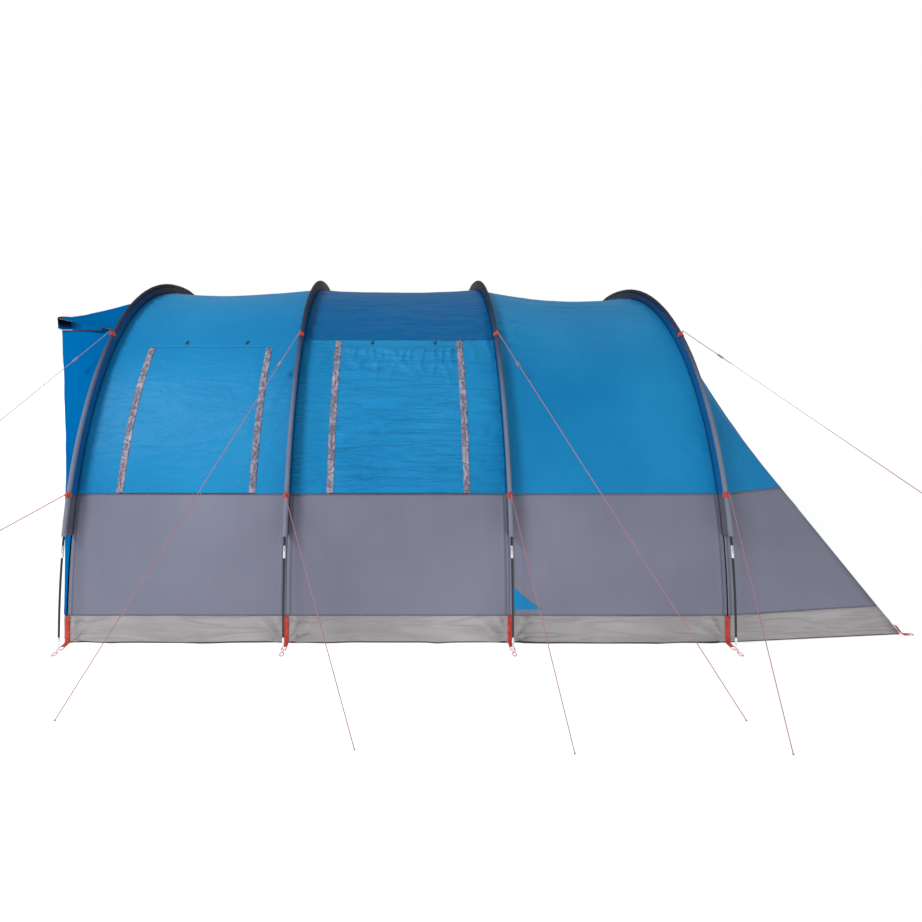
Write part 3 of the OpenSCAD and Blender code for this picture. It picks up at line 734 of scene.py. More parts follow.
def skirt_relief(seed):
    """Slack mud skirt with creases that fan out from each strap."""
    def relief(p, u, v):
        rim = min(1, max(0, SKIRT - p.z) / 0.02)
        rim *= min(1, max(0, min(abs(p.x - x) for x in HOOPS) - 0.02) / 0.03)
        d = 0.010 * pleats(p, (1.8, 3, 11), seed) + 0.004 * waves(p, (6, 3, 9), seed + 2)
        for i, x in enumerate(HOOPS):
            dx = p.x - x
            fan = math.atan2(p.z + 0.004, abs(dx) + 0.001)
            pull = math.exp(-abs(dx) / 0.15) * min(1, abs(dx) / 0.02)
            d += 0.015 * pull * (1 - 2 * abs(math.sin(fan * 6.5 + i + (dx > 0))))
        return d * rim
    return relief


# ---------------------------------------------------------------- guylines


def tab_frame(i, z, side):
    a = side_angle(POLE_TOP[i], z, side)
    centre = pole_point(i, a)
    out = (centre - wall_point(i, a)).normalized()
    return centre, out, ACROSS.cross(out)


def guy_ends(i, z, peg):
    centre, out, _ = tab_frame(i, z, -1)
    return centre + (RING_REACH + KNOT_R + 0.0005) * out, Vector((*peg, KNOT_R))


def make_guyline(name, i, z, peg):
    start, end = guy_ends(i, z, peg)
    material = LINE_RED if name == "guy_1_lower" else LINE
    line = tube("line_" + name, [start.lerp(end, k / 30) for k in range(31)], GUY_R, material,
                keep_curve=True)
    way = (end - start).normalized()
    side = way.cross(UP).normalized()
    up = side.cross(way)
    knots = []
    for at, turn in ((start, 1), (end, -1)):
        loop = []
        for k in range(25):
            t = k / 24 * math.tau * 1.5
            r = 0.0026 - 0.0006 * math.cos(t * 2)
            loop.append(at + way * turn * 0.0011 * math.sin(t * 2) + side * r * math.cos(t)
                        + up * r * math.sin(t))
        knots.append(tube("knot", loop, 0.0016, material, sides=8))
    knot = joined("knots_" + name, knots)
    fitted(line, "tent", "guyline_red", name)
    fitted(knot, "tent", "guyline_red")
    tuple(start)


def make_guylines():
    for i in range(4):
        make_guyline("guy_%d_lower" % (i + 1), i, LOWER_TAB, LOWER_PEGS[i])
        make_guyline("guy_%d_upper" % (i + 1), i, UPPER_TAB, UPPER_PEGS[i])


def make_runner(i):
    """Flat tensioner: a rounded plate with a long hole for the line and a cross hole."""
    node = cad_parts["runner_%d" % (i + 1)]
    bm = bmesh.new()
    bm.from_mesh(node.data)
    bmesh.ops.remove_doubles(bm, verts=bm.verts, dist=0.00005)
    bmesh.ops.dissolve_limit(bm, angle_limit=0.05, verts=bm.verts, edges=bm.edges)
    rim = [e for e in bm.edges
           if len(e.link_faces) == 2 and e.calc_face_angle(0) > 1.2 and e.calc_length() > 0.008]
    bmesh.ops.bevel(bm, geom=rim, offset=0.0012, offset_type="OFFSET", segments=2, profile=0.5,
                    affect="EDGES",
                    material=-1)
    obj = finish_mesh("line_runner_%d" % (i + 1), bm, smooth=False)
    obj.data.materials.append(RUNNER)
    fitted(obj, "line_runner_%d" % (i + 1), "runner_grey", "runner_%d" % (i + 1))


# ---------------------------------------------------------------- bays


def bay_lines(b, cell):
    a, z = HOOPS[b] + 0.0001, HOOPS[b + 1] - 0.0001
    if b == 2:
        return spaced(a, z, round((z - a) / cell)), None
    u, v = WINDOWS[b]
    first, middle, last = [max(2, round(d / cell)) for d in (u - a, v - u, z - v)]
    return chained(spaced(a, u, first), spaced(u, v, middle), spaced(v, z, last)), (first, first + middle)


def hoops_of(b):
    return ["pole_hoop_%d" % (b + 1), "pole_hoop_%d" % (b + 2)]


def make_canopy(b, name, node, material):
    xs, hole = bay_lines(b, 0.014)
    n_side, n_top = 54, 72
    steps = chained([k / n_side for k in range(n_side + 1)], [1 + k / n_top for k in range(n_top + 1)])
    steps = steps + [4 - s for s in reversed(steps[:-1])]
    cols = len(steps) - 1

    def place(x, s):
        h = bay_top(b, x)
        side = s if s <= 2 else 4 - s
        low = angle_at(h, WINDOW_TOP)
        a = angle_at(h, mix(SEAM, WINDOW_TOP, side)) if side <= 1 else mix(low, math.pi / 2, side - 1)
        return bay_point(b, x, a if s <= 2 else math.pi - a)

    def is_hole(i, j):
        return hole and hole[0] <= i < hole[1] and (j < n_side or j >= cols - n_side)

    obj = cloth_grid(name, xs, steps, place, canopy_relief(b), is_hole if hole else None, flip=True)
    sheet_of(obj, material, "tent", "canopy_blue", "stretched", hoops_of(b), node)


def make_band(b, side, low, high, name, node, material, slot, relief, cell=0.016):
    xs = spaced(HOOPS[b] + 0.0001, HOOPS[b + 1] - 0.0001, round((HOOPS[b + 1] - HOOPS[b]) / cell))
    zs = spaced(low, high, max(4, round((high - low) / cell)))

    def place(x, z):
        return side_point(b, x, z, side)

    obj = cloth_grid(name, xs, zs, place, relief, flip=side > 0)
    sheet_of(obj, material, "tent", slot, "stretched", hoops_of(b), *node)


def make_bays():
    bays = ["front", "middle", "rear"]
    for b, bay in enumerate(bays):
        make_canopy(b, "canopy_%s" % bay, "canopy_%s_bay" % bay, BLUE_MIDDLE if b == 1 else BLUE)
        for side, hand in SIDES:
            make_band(b, side, SKIRT, SEAM - SEAM_GAP, "wall_%s_%s_cloth" % (bay, hand),
                      ["wall_%s_%s" % (bay, hand)],
                      GREY, "wall_grey", wall_relief(b * 3 + side, b == 2 and side < 0), 0.0115)
            make_band(b, side, 0.0005, SKIRT - SEAM_GAP, "skirt_%s_%s_cloth" % (bay, hand),
                      ["skirt_%s" % hand] if b == 0 else [], PALE, "skirt_pale",
                      skirt_relief(b * 2 + side), 0.009)


def side_line(b, z, side, out, n=40):
    a, c = HOOPS[b] + 0.004, HOOPS[b + 1] - 0.004
    return [side_point(b, x, z, side, out) for x in spaced(a, c, n)]


def make_piping():
    parts = []
    for b in range(3):
        for side in (-1, 1):
            parts.append(tube("piping", side_line(b, SEAM, side, 0.0006), 0.0015, PIPING, sides=8))
            parts.append(tube("piping", side_line(b, SKIRT, side, 0.0004), 0.0011, GREY_THREAD, sides=8))
    for side in (-1, 1):
        parts.append(tube("piping", side_line(1, ROOF_SEAM, side, 0.0008), 0.0013, ZIP, sides=8))
    fitted(joined("seam_piping", parts), "tent", "wall_grey")


# ---------------------------------------------------------------- windows

WINDOW_SIDES = [(0, -1, "front_right", "tent"), (0, 1, "front_left", "front_left_cover"),
                (1, -1, "middle_right", "middle_right_cover"), (1, 1, "middle_left", "middle_left_cover")]


def make_cover(b, side, name, body):
    """A window cover: gathered under its top edge, level slack creases below, flat at the zips."""
    u, v = WINDOWS[b][0] + 0.003, WINDOWS[b][1] - 0.003
    top = WINDOW_TOP - (0.0004 if body == "tent" else COVER_GAP)

    def place(x, z):
        return side_point(b, x, z, side)

    def relief(p, x, z):
        sides = max(0, min(1, (min(x - u, v - x) - 0.02) / 0.03))
        rim = sides * max(0, min(1, (z - SEAM - 0.003) / 0.03, (top - z) / 0.008))
        if b == 0:
            return rim * (0.006 * waves(p, (2, 4, 4), 4) + 0.002 * pleats(p, (2.5, 14, 14), 6))
        low = 0.005 * waves(p, (2, 5, 5), 5) + 0.005 * pleats(p, (3, 15, 15), 7)
        low += 0.014 * pleats(p, (15, 4, 4), 3) * near(z, 1.49, 0.06)
        low += 0.009 * pleats(p, (10, 6, 7), 7) * near(z, 1.41, 0.08)
        low += 0.006 * pleats(p, (4, 10, 10), 1) * near(z, 0.80, 0.07)
        return rim * low
    obj = cloth_grid("cover_%s_cloth" % name, spaced(u, v, 92), spaced(SEAM + 0.003, top, 100), place, relief,
                     flip=side > 0)
    sheet_of(obj, BLUE_COVER if b == 1 else BLUE, body, "canopy_blue", "hung",
             ["canopy_front" if b == 0 else "canopy_middle"], "cover_" + name)
    if body != "tent":
        make_cover_fold(b, side, name, u, v, top)


def make_cover_fold(b, side, name, u, v, top):
    """The cloth of the cover's top edge, between the cover's top and the window's top."""
    def place(x, z):
        return side_point(b, x, z, side)
    obj = cloth_grid("cover_%s_fold" % name, spaced(u, v, 60), spaced(top, WINDOW_TOP, 4), place,
                     flip=side > 0)
    obj.data.materials.append(BLUE_COVER if b == 1 else BLUE)
    middle = (u + v) / 2
    place(middle, WINDOW_TOP)
    place(middle, top)
    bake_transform(obj)


def strip_cloth(b, side, edge, low, high, seed):
    """One storm strip: a crumpled silvery flap that lies along a zip."""
    def place(t, z):
        x = edge + (t - 0.5) * 0.037
        return side_point(b, x, z, side, 0.0014)

    def relief(p, t, z):
        return 0.0003 + 0.006 * (1 - abs(2 * t - 1) ** 4) * pleats(p, (22, 18, 18), seed)
    return cloth_grid("strip", spaced(0, 1, 10), spaced(low, high, max(8, round((high - low) / 0.005))),
                      place, relief,
                      flip=side > 0, thickness=0.0008)


def make_strips(b, side, name, body):
    """Storm strips over the side zips; the middle pair runs on up to the roof seam."""
    for e, (edge, hand) in enumerate(zip(WINDOWS[b], ("front", "rear"))):
        obj = strip_cloth(b, side, edge, SEAM + 0.008, WINDOW_TOP - COVER_GAP, 3 + e + b)
        obj.name = "strip_%s_%s" % (name, hand)
        sheet_of(obj, STRIP, body, "strip_silver", "hung", ["cover_%s_cloth" % name],
                 *(["strips_" + name] if e == 0 else []))
        if b == 1:
            top = strip_cloth(b, side, edge, WINDOW_TOP - COVER_GAP + 0.001, ROOF_SEAM - 0.002, 5 + e)
            top.name = "strip_top_%s_%s" % (name, hand)
            sheet_of(top, STRIP, "tent", "strip_silver", "stretched", ["canopy_middle"])


def make_zips():
    """Zip tape round each window opening."""
    for b, side, name, body in WINDOW_SIDES:
        u, v = WINDOWS[b]
        parts = []

        def on(x, z, out=0.0004):
            return side_point(b, x, z, side, out)
        low = SEAM + 0.0045
        way = ([on(u, z) for z in spaced(WINDOW_TOP, low, 40)][:-1] + [on(x, low) for x in spaced(u, v,
                                                                                                  40)][:-1]
               + [on(v, z) for z in spaced(low, WINDOW_TOP, 40)])
        parts.append(tube("zip", way, 0.0018, ZIP, sides=8))
        fitted(joined("zip_" + name, parts), "tent", "toggle_black")


def make_toggles():
    parts = []
    for b in (0, 1):
        for t in (0.28, 0.8):
            for side in (-1, 1):
                x = mix(*WINDOWS[b], t)
                a = side_angle(bay_top(b, x), WINDOW_TOP + 0.022, side)
                p = bay_point(b, x, a)
                out = (bay_point(b, x, a, 0.01) - p).normalized()
                along = ACROSS.cross(out) * (1 if side > 0 else -1)
                slant = (along * 0.92 + Vector((0.38, 0, 0))).normalized()
                bar = [p + out * 0.008 + slant * s for s in spaced(-0.014, 0.014, 8)]
                body = tube("toggle", bar, 0.0036, TOGGLE, sides=12)
                ring = [p + out * (0.0105 - 0.0065 * math.cos(w)) + along * 0.006 * math.sin(w)
                        for w in spaced(0, math.tau, 16)[:-1]]
                loop = tube("loop", ring, 0.001, ZIP, cyclic=True, sides=8)
                parts += [body, loop]
    fitted(joined("window_toggles", parts), "tent", "toggle_black", "toggles")


def make_windows():
    for b, side, name, body in WINDOW_SIDES:
        make_cover(b, side, name, body)
        make_strips(b, side, name, body)
    make_zips()
    make_toggles()
    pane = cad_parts["window_panes"]
    pane.data.materials.clear()
    pane.data.materials.append(FILM)


# ---------------------------------------------------------------- hoops and sleeves


def make_hoop(i):
    foot = angle_at(POLE_TOP[i], 0.067)
    low, high = [angle_at(POLE_TOP[i], z) for z in FERRULE]
    runs = [spaced(foot, low, 10), spaced(high, math.pi - high, 150),
            spaced(math.pi - low, math.pi - foot, 10)]
    parts = [tube("rod", [pole_point(i, a) for a in run], POLE_R, FIBREGLASS, sides=16) for run in runs]
    fitted(joined("pole_hoop_%d" % (i + 1), parts), "tent", "pole_black", "hoop_%d_rods" % (i + 1))


def make_sleeve(i):
    """Sleeve: a fin of doubled cloth sewn to the roof, and the slightly gathered tube of the pole."""
    low = angle_at(WALL_TOP[i], 0.54)

    def place(a, c):
        w, p = wall_point(i, a), pole_point(i, a)
        out = (p - w).normalized()
        reach = (p - w).length
        if c <= 1:
            return w + out * (0.0005 + c * (reach - 0.0125)) + Vector((0.0026, 0, 0))
        if c >= 9:
            return w + out * (0.0005 + (10 - c) * (reach - 0.0125)) - Vector((0.0026, 0, 0))
        t = math.radians(mix(14, 346, (c - 1) / 8))
        return p + (SLEEVE_R - 0.0007) * (ACROSS * math.sin(t) - out * math.cos(t))

    def relief(p, a, c):
        pucker = 0.0016 * ridges(p, (10, 26, 26), 3 + i) - 0.0006
        return pucker * (0.4 if 1 < c < 9 else 1.0) * (1 if 0 < c < 10 else 0)
    cs = chained(spaced(0, 1, 5), spaced(1, 9, 12), spaced(9, 10, 5))
    obj = cloth_grid("sleeve_%d_cloth" % (i + 1), spaced(low, math.pi - low, 300), cs, place, relief,
                     thickness=0.0008,
                     finish=lambda along, round_it: 0 if 5 <= round_it < 17 else 1)
    obj.data.materials.append(SLEEVE)
    sheet_of(obj, FIN, "tent", "sleeve_dark", "stretched", ["pole_hoop_%d" % (i + 1)], "sleeve_%d" % (i + 1))
    make_sleeve_binding(i, low)


def make_sleeve_binding(i, low):
    """Dusty pink edge binding where the tube is sewn to its fin, fading out near the crown."""
    parts = []
    high = angle_at(WALL_TOP[i], 1.7)
    for span in ((low, high), (math.pi - high, math.pi - low)):
        for lean in (-1, 1):
            line = []
            for a in spaced(*span, 70):
                p = pole_point(i, a)
                out = (p - wall_point(i, a)).normalized()
                line.append(p - out * 0.0122 + Vector((lean * 0.0046, 0, 0)))
            parts.append(tube("binding", line, 0.0013, SEAM_PINK, sides=6))
    fitted(joined("sleeve_%d_binding" % (i + 1), parts), "tent", "sleeve_dark")


def cylinder_between(bm, a, b, r, segments=24, bevel=0.0):
    made = bmesh.ops.create_cone(bm, cap_ends=True, segments=segments, radius1=r, radius2=r,
                                 depth=(b - a).length)
    turn = (b - a).to_track_quat("Z", "Y").to_matrix()
    bmesh.ops.rotate(bm, verts=made["verts"], cent=(0, 0, 0), matrix=turn)
    bmesh.ops.translate(bm, verts=made["verts"], vec=(a + b) / 2)
    if bevel:
        rim = list({e for v in made["verts"] for e in v.link_edges
                    if len(e.link_faces) == 2 and e.calc_face_angle(0) > 1.0})
        bmesh.ops.bevel(bm, geom=rim, offset=bevel, offset_type="OFFSET", segments=2, profile=0.5,
                        affect="EDGES",
                        material=-1)


def make_fittings():
    bm = bmesh.new()
    for i in range(4):
        for side in (-1, 1):
            low = Vector((HOOPS[i], side * arch_half(POLE_HALF, POLE_TOP[i], 0.453), 0.453))
            high = Vector((HOOPS[i], side * arch_half(POLE_HALF, POLE_TOP[i], 0.513), 0.513))
            cylinder_between(bm, low, high, POLE_R + 0.0012, bevel=0.0008)
            for f in (0.12, 0.5, 0.88):
                c = low.lerp(high, f)
                d = (high - low).normalized() * 0.0016
                cylinder_between(bm, c - d, c + d, POLE_R + 0.0015, bevel=0.0005)
    ferrules = finish_mesh("pole_joint_ferrules", bm)
    ferrules.data.materials.append(METAL)
    fitted(ferrules, "tent", "bright_metal", "pole_ferrules")
    bm = bmesh.new()
    for x in HOOPS:
        for side in (-1, 1):
            foot = Vector((x, side * POLE_HALF, 0))
            up = UP
            cylinder_between(bm, foot, foot + up * 0.041, 0.0034, bevel=0.001)
            cylinder_between(bm, foot + up * 0.0395, foot + up * 0.067, POLE_R, bevel=0.001)
            cylinder_between(bm, foot + up * 0.036, foot + up * 0.0395, POLE_R, bevel=0.0006)
    pins = finish_mesh("pole_foot_pins", bm)
    pins.data.materials.append(METAL)
    fitted(pins, "tent", "bright_metal", "pole_end_pins")


# ---------------------------------------------------------------- webbing


def ribbon(name, points, width_way, width, material, thickness=0.002, relief=None):
    """A strip of webbing along points, width_way being the direction across it."""
    across = Vector(width_way).normalized()
    n = len(points) - 1
    return cloth_ribbon(name, points, lambda k: across, width, material, thickness)


def cloth_ribbon(name, points, across, width, material, thickness):
    n = len(points) - 1

    def place(k, t):
        return points[round(k)] + across(k) * (t - 0.5) * width
    obj = cloth_grid(name, list(range(n + 1)), spaced(0, 1, 4), place, None, thickness=thickness)
    obj.data.materials.append(material)
    return obj


def foot_path(side, reach):
    """Down the skirt, round a soft bend and out along the ground."""
    y0 = WALL_HALF + 0.0032
    path = [Vector((0, side * y0, z)) for z in spaced(0.139, 0.014, 12)]
    path += [Vector((0, side * (y0 + 0.012 * (1 - math.cos(w))), 0.014 - 0.0118 * math.sin(w)))
             for w in spaced(0, math.pi / 2, 6)[1:]]
    path += [Vector((0, side * y, 0.0022)) for y in spaced(y0 + 0.012, reach, 16)[1:]]
    return path


def make_foot_straps():
    parts = []
    for i, x in enumerate(HOOPS):
        for side in (-1, 1):
            path = [p + Vector((x, 0, 0)) for p in foot_path(side, WALL_HALF + 0.045)]
            parts.append(ribbon("strap", path, (1, 0, 0), 0.025, RED, thickness=0.0014))
            for dx in (-0.0115, 0.0115):
                edge = [Vector((x + dx, side * y, 0.0018)) for y in spaced(WALL_HALF + 0.04,
                                                                           POLE_HALF - 0.004, 8)]
                parts.append(tube("cord", edge, 0.0016, RED, sides=8))
            ring = [Vector((x + 0.0115 * math.cos(w), side * (POLE_HALF) + side * 0.0115 * math.sin(w),
                            0.0018))
                    for w in spaced(0, math.tau, 24)[:-1]]
            parts.append(tube("ring", ring, 0.0017, METAL, cyclic=True, sides=8))
            loop = [Vector((x + 0.0095 * math.cos(w), side * (POLE_HALF + 0.0385 + 0.0195 * math.sin(w)),
                            0.0018))
                    for w in spaced(0, math.tau, 28)[:-1]]
            parts.append(tube("loop", loop, 0.0018, RED, cyclic=True, sides=8))
            for z in (0.125, 0.105):
                stitch = [Vector((x + t, side * (WALL_HALF + 0.0036), z)) for t in spaced(-0.010, 0.010, 6)]
                parts.append(tube("stitch", stitch, 0.0006, RED_THREAD, sides=6))
    fitted(joined("foot_strap_webbing", parts), "tent", "webbing_red", "foot_straps")


def make_rear_loops():
    parts = []
    for side in (-1, 1):
        y = side * REAR_HALF
        up = Vector((-0.588, 0, 0.808))
        out = Vector((0.808, 0, 0.588))
        corner = Vector((REAR_CORNER + 0.006, y, 0.0042))
        path = [corner + up * s + out * 0.001 for s in spaced(0.056, 0.006, 8)]
        path += [Vector((REAR_CORNER + s, y, 0.0024)) for s in spaced(0.012, 0.042, 8)]
        parts.append(ribbon("strap", path, (0, 1, 0), 0.024, RED, thickness=0.0014))
        loop = [Vector((REAR_CORNER + 0.0545 + 0.0125 * math.cos(w), y + 0.0105 * math.sin(w), 0.0018))
                for w in spaced(0, math.tau, 28)[:-1]]
        parts.append(tube("loop", loop, 0.0017, RED, cyclic=True, sides=8))
    fitted(joined("rear_loop_webbing", parts), "tent", "webbing_red", "rear_peg_loops")


def make_guy_tabs():
    """Red webbing wrapped round the sleeve and stitched into a loop for the guyline."""
    parts = []
    for i in range(4):
        for z in (LOWER_TAB, UPPER_TAB):
            for side in (-1, 1):
                c, out, along = tab_frame(i, z, side)
                ways = [math.radians(w) for w in spaced(26, 334, 24)]
                wrap = [c + 0.0155 * (ACROSS * math.sin(w) - out * math.cos(w)) for w in ways]
                parts.append(ribbon("wrap", wrap, along, 0.026, RED, thickness=0.0012))
                loop = [c + out * (0.0225 + 0.0082 * math.sin(w)) + along * 0.0075 * math.cos(w)
                        for w in spaced(0, math.tau, 20)[:-1]]
                parts.append(tube("loop", loop, 0.0016, RED, cyclic=True, sides=8))
                bar = [c + out * 0.0164 + along * s for s in spaced(-0.009, 0.009, 6)]
                parts.append(tube("bar", bar, 0.0007, RED_THREAD, sides=6))
    fitted(joined("guy_tab_webbing", parts), "tent", "webbing_red", "guy_tabs")


def make_corner_patch():
    """Blue cloth triangle with a hollow long edge, sewn on beside the third hoop."""
    x0, z0 = HOOPS[2] + 0.012, 0.171

    def place(s, t):
        x = x0 + 0.148 * (1 - s) ** 1.25 * t
        return side_point(2, x, z0 + 0.123 * s, -1, 0.0014)
    obj = cloth_grid("corner_patch_cloth", spaced(0, 0.97, 24), spaced(0, 1, 20), place,
                     lambda p, s, t: 0.0003 + 0.0006 * waves(p, (20, 20, 20), 4), thickness=0.0007, flip=True)
    sheet_of(obj, BLUE, "tent", "canopy_blue", "stretched", ["wall_rear_right_cloth"], "corner_patch")


# ---------------------------------------------------------------- awning and front


def make_awning():
    foot = arch_half(WALL_HALF, WALL_TOP[0], AWNING_HEIGHT) / (AWNING_HALF - BOW_INSET)

    def place(a, t):
        e = bow_point(a, BOW_INSET, -0.001)
        y = e.y * foot
        s = Vector((HOOPS[0] - 0.0045, y,
                    arch_z(WALL_TOP[0], math.acos((abs(y) / WALL_HALF) ** (ARCH_POWER / 2)))))
        return s.lerp(e, t) - Vector((0, 0, 0.06 * t * (1 - t) * math.sin(a)))

    def relief(p, a, t):
        rim = min(1, t / 0.06, (1 - t) / 0.06)
        return max(0, rim) * (0.005 * waves(p, (3, 3, 3), 2) + 0.004 * ridges(p, (4, 9, 6), 5))
    obj = cloth_grid("awning_roof_cloth", spaced(math.radians(4), math.radians(176), 130), spaced(0, 1, 46),
                     place, relief)
    sheet_of(obj, BLUE_FRONT, "tent", "canopy_blue", "stretched", ["awning_bow_rod"], "awning_roof")
    ends = math.radians(1.4), math.radians(178.6)
    pale = math.radians(28)
    spans = [(ends[0], pale, FIBREGLASS), (pale, math.pi - pale, PALE_ROD),
             (math.pi - pale, ends[1], FIBREGLASS)]
    rods = [tube("rod", [bow_point(a) for a in spaced(a0, a1, 60)], BOW_R, material, sides=14)
            for a0, a1, material in spans]
    fitted(joined("awning_bow_rod", rods), "tent", "pole_black", "awning_rods")
    make_awning_band()

    def sleeve_place(a, c):
        p, u = bow_point(a), bow_outward(a)
        up = UP
        foot = p - (BOW_INSET - 0.001) * u
        if c <= 1:
            return foot + u * (0.0005 + c * (BOW_INSET - 0.0135)) + up * 0.0026
        if c >= 9:
            return foot + u * (0.0005 + (10 - c) * (BOW_INSET - 0.0135)) - up * 0.0026
        t = math.radians(mix(14, 346, (c - 1) / 8))
        return p + (SLEEVE_R - 0.0007) * (up * math.sin(t) - u * math.cos(t))
    cs = chained(spaced(0, 1, 3), spaced(1, 9, 14), spaced(9, 10, 3))
    sleeve = cloth_grid("awning_sleeve_cloth", spaced(math.radians(52), math.radians(128), 110), cs,
                        sleeve_place,
                        lambda p, a, c: 0.0005 * ridges(p, (30, 30, 30), 3), thickness=0.0008)
    sheet_of(sleeve, AWNING_DARK, "tent", "sleeve_dark", "stretched", ["awning_bow_rod"], "awning_sleeve")


def make_awning_band():
    """A band that hangs from the awning's sleeve, deepest round the front, with a corded lower hem."""
    def fall(a):
        return 0.012 + 0.048 * min(1, max(0, (math.sin(a) - 0.1) / 0.5))

    def place(a, t):
        return bow_point(a) + bow_outward(a) * (0.0125 - 0.003 * t) + Vector((0, 0,
                                                                              0.006 - (0.006 + fall(a)) * t))
    ends = math.radians(7), math.radians(173)
    obj = cloth_grid("awning_band_cloth", spaced(*ends, 170), spaced(0, 1, 10), place,
                     lambda p, a, t: 0.003 * t * ridges(p, (12, 12, 8), 4), thickness=0.001)
    sheet_of(obj, BAND, "tent", "sleeve_dark", "hung", ["awning_sleeve_cloth"])
    turn = math.radians(26)
    hems = [tube("hem", [place(a, 1) for a in spaced(a0, a1, 50)], 0.0034, material, sides=10)
            for a0, a1, material in ((ends[0], turn, FIBREGLASS), (turn, math.pi - turn, PALE_ROD),
                                     (math.pi - turn, ends[1], FIBREGLASS))]
    fitted(joined("awning_band_hem", hems), "tent", "pole_black")


def front_relief(p, u, v):
    return 0.006 * waves(p, (2.5, 2.5, 1.6), 5) + 0.0035 * ridges(p, (8, 8, 2), 7)


def make_front():
    for side, hand in SIDES:
        def place(k, v, side=side):
            return front_point(side * mix(DOOR_HALF + 0.001, front_chord(v), math.sin(math.pi / 2 * k)), v)

        def relief(p, k, v):
            rim = min(1, k / 0.04 + 0.15, (1 - k) / 0.04, (v - 0.086) / 0.03, (1 - v) / 0.03)
            return max(0, rim) * front_relief(p, k, v)
        obj = cloth_grid("front_%s_cloth" % hand, spaced(0, 1, 84), spaced(0.086, 1, 100), place, relief,
                         flip=side > 0)
        sheet_of(obj, BLUE_FRONT, "tent", "canopy_blue", "stretched", ["awning_bow_rod", "pole_hoop_1"],
                 "front_panel_" + hand)

    def across(t, v):
        return front_point(mix(DOOR_HALF - 0.0005, -DOOR_HALF + 0.0005, t), v)
    head = cloth_grid("door_header_cloth", spaced(0, 1, 56), spaced(0.867, 1, 16), across,
                      lambda p, t, v: 0.002 * waves(p, (5, 5, 5), 3), flip=True)
    sheet_of(head, BLUE_FRONT, "tent", "canopy_blue", "stretched", ["awning_bow_rod"], "door_header")

    def skirt_place(k, v):
        c = front_chord(v)
        return front_point(c * math.sin(math.pi / 2 * (1 - 2 * k)), v)
    skirt = cloth_grid("front_skirt_cloth", spaced(0, 1, 190), spaced(0, 0.084, 12), skirt_place,
                       lambda p, k, v: (0.003 * ridges(p, (8, 8, 16), 3) * min(1, (0.084 - v) / 0.02)
                                        * min(1, k * 30, (1 - k) * 30)),
                       flip=True)
    sheet_of(skirt, PALE, "tent", "skirt_pale", "stretched", ["pole_hoop_1"], "front_skirt")
    make_door()


def make_door():
    half = DOOR_HALF - 0.003
    top = DOOR_V[1] - 0.005

    def place(t, v):
        return front_point(mix(half, -half, t), v)

    def relief(p, t, v):
        rim = min(1, t / 0.05, (1 - t) / 0.05, (v - DOOR_V[0]) / 0.04, (top - v) / 0.03)
        return max(0, rim) * (0.006 * waves(p, (3, 3, 2), 8) + 0.004 * ridges(p, (9, 9, 2.4), 4))
    obj = cloth_grid("door_flap_cloth", spaced(0, 1, 58), spaced(DOOR_V[0], top, 92), place, relief,
                     flip=True)
    sheet_of(obj, BLUE_FRONT, "door", "canopy_blue", "hung", ["door_header_cloth"], "door_flap")
    parts = []
    for side in (-1, 1):
        way = [front_point(side * (DOOR_HALF + 0.0045), v) + Vector((-0.0009, side * 0.0002, 0))
               for v in spaced(DOOR_V[0] - 0.004, top, 60)]
        parts.append(tube("zip", way, 0.0019, ZIP, sides=8))
    way = [front_point(mix(DOOR_HALF, -DOOR_HALF, k / 30),
                       0.0835) + Vector((-0.0012, 0, 0)) for k in range(31)]
    parts.append(tube("zip", way, 0.0019, ZIP, sides=8))
    fitted(joined("door_zip", parts), "tent", "toggle_black")
    hem = [place(t, DOOR_V[0] + 0.004) + Vector((-0.0012, 0, 0)) for t in spaced(0.02, 0.98, 30)]
    fitted(tube("door_hem", hem, 0.0015, GREY_THREAD, sides=8), "door", "wall_grey")


# ---------------------------------------------------------------- sloping back


def back_columns():
    side = [("r", t) for t in spaced(0, 1, 16)][:-1]
    panel = [("p", k) for k in spaced(0, 1, 110)]
    other = [("l", t) for t in spaced(1, 0, 16)][1:]
    return side + panel + other


def back_place(column, zs, zm):
    kind, t = column
    if kind == "p":
        return back_point(t, zm)
    return back_side_point(zs, t, -1 if kind == "r" else 1)


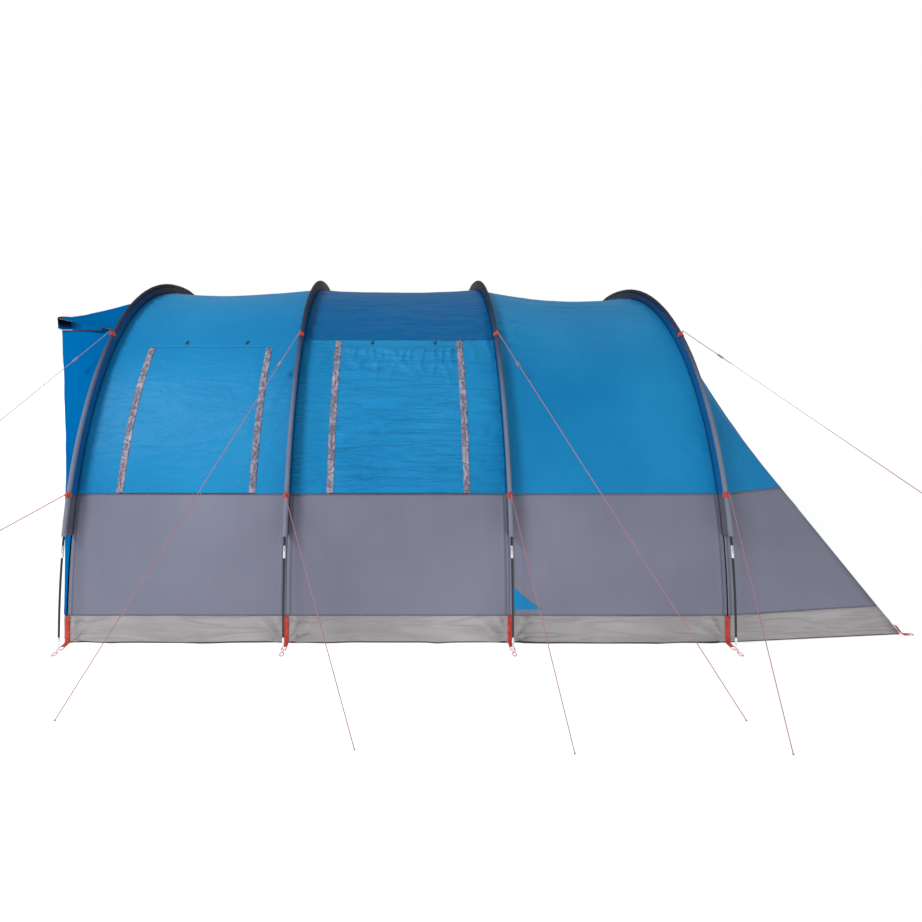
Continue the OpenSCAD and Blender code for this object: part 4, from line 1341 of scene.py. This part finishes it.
def make_back():
    columns = back_columns()
    ids = list(range(len(columns)))
    low = SEAM + 0.0006

    def canopy(c, f):
        kind, t = columns[round(c)]
        top = back_line(t)[0].z if kind == "p" else 0
        return back_place(columns[round(c)], mix(low, REAR_SEAM - 0.025, f), mix(low, top, f))

    def relief_in(z0, z1):
        def relief(p, c, f):
            rim = min(1, c / 3, (len(columns) - 1 - c) / 3, abs(p.z - z0) / 0.03, abs(z1 - p.z) / 0.03)
            return max(0, rim) * (0.006 * waves(p, (2, 2, 2), 7) + 0.003 * ridges(p, (5, 3, 5), 2))
        return relief
    obj = cloth_grid("back_canopy_cloth", ids, spaced(0, 1, 60), canopy, relief_in(low, 5))
    sheet_of(obj, BLUE, "tent", "canopy_blue", "stretched", ["pole_hoop_4"], "rear_canopy")

    def wall(c, z):
        return back_place(columns[round(c)], z, z)
    obj = cloth_grid("back_wall_cloth", ids, spaced(SKIRT + SEAM_GAP, SEAM - SEAM_GAP, 46), wall,
                     relief_in(SKIRT, SEAM))
    sheet_of(obj, GREY, "tent", "wall_grey", "stretched", ["pole_hoop_4"], "rear_wall")
    obj = cloth_grid("back_skirt_cloth", ids, spaced(0.0022, SKIRT - SEAM_GAP, 14), wall,
                     lambda p, c, z: 0.004 * ridges(p, (7, 7, 14), 5) * min(1, (SKIRT - z) / 0.03, z / 0.03))
    sheet_of(obj, PALE, "tent", "skirt_pale", "stretched", ["pole_hoop_4"], "rear_skirt")
    parts = []
    for z, material, r in ((SEAM, PIPING, 0.0016), (SKIRT, GREY_THREAD, 0.0012)):
        way = [back_place(c, z, z) + Vector((0.0006, 0, 0.0005)) for c in columns]
        parts.append(tube("piping", way, r, material, sides=8))
    for k in (0, 1):
        way = [back_point(k, z) + Vector((0.0006, 0, 0.0004)) for z in spaced(0.02, REAR_SEAM - 0.03, 60)]
        parts.append(tube("piping", way, 0.0014, GREY_THREAD, sides=8))
    fitted(joined("back_piping", parts), "tent", "wall_grey")


# ---------------------------------------------------------------- floor of the tent


def make_groundsheet():
    edge = WALL_HALF - 0.0056

    def place(x, t):
        y = mix(-1, 1, t)
        if x < HOOPS[0]:
            s = (HOOPS[0] - x) / (FRONT_REACH - 0.014)
            half = edge * power(1 - min(1, s) ** 1.3, 1 / 1.3) * 0.995
        elif x <= HOOPS[3]:
            half = edge
        else:
            half = mix(edge, REAR_HALF - 0.008, (x - HOOPS[3]) / (REAR_CORNER - 0.009 - HOOPS[3]))
        return Vector((x, y * half, 0.0012))

    def relief(p, x, t):
        rim = min(1, t / 0.02, (1 - t) / 0.02)
        return max(0, rim) * 0.006 * max(0, ridges(p, (2.2, 2.2, 1), 3) - 0.35)
    xs = chained(spaced(HOOPS[0] - FRONT_REACH + 0.03, HOOPS[0] - 0.001, 26),
                 spaced(HOOPS[0] - 0.001, HOOPS[3], 130),
                 spaced(HOOPS[3], REAR_CORNER - 0.009, 38))
    obj = cloth_grid("groundsheet_cloth", xs, spaced(0, 1, 110), place, relief, thickness=0.001)
    sheet_of(obj, GROUND, "tent", "groundsheet", "laid", [], "groundsheet")


make_camera()
make_studio()
make_guylines()
for hoop in range(4):
    make_runner(hoop)
    make_hoop(hoop)
    make_sleeve(hoop)
make_fittings()
make_bays()
make_piping()
make_windows()
make_foot_straps()
make_rear_loops()
make_guy_tabs()
make_corner_patch()
make_awning()
make_front()
make_back()
make_groundsheet()
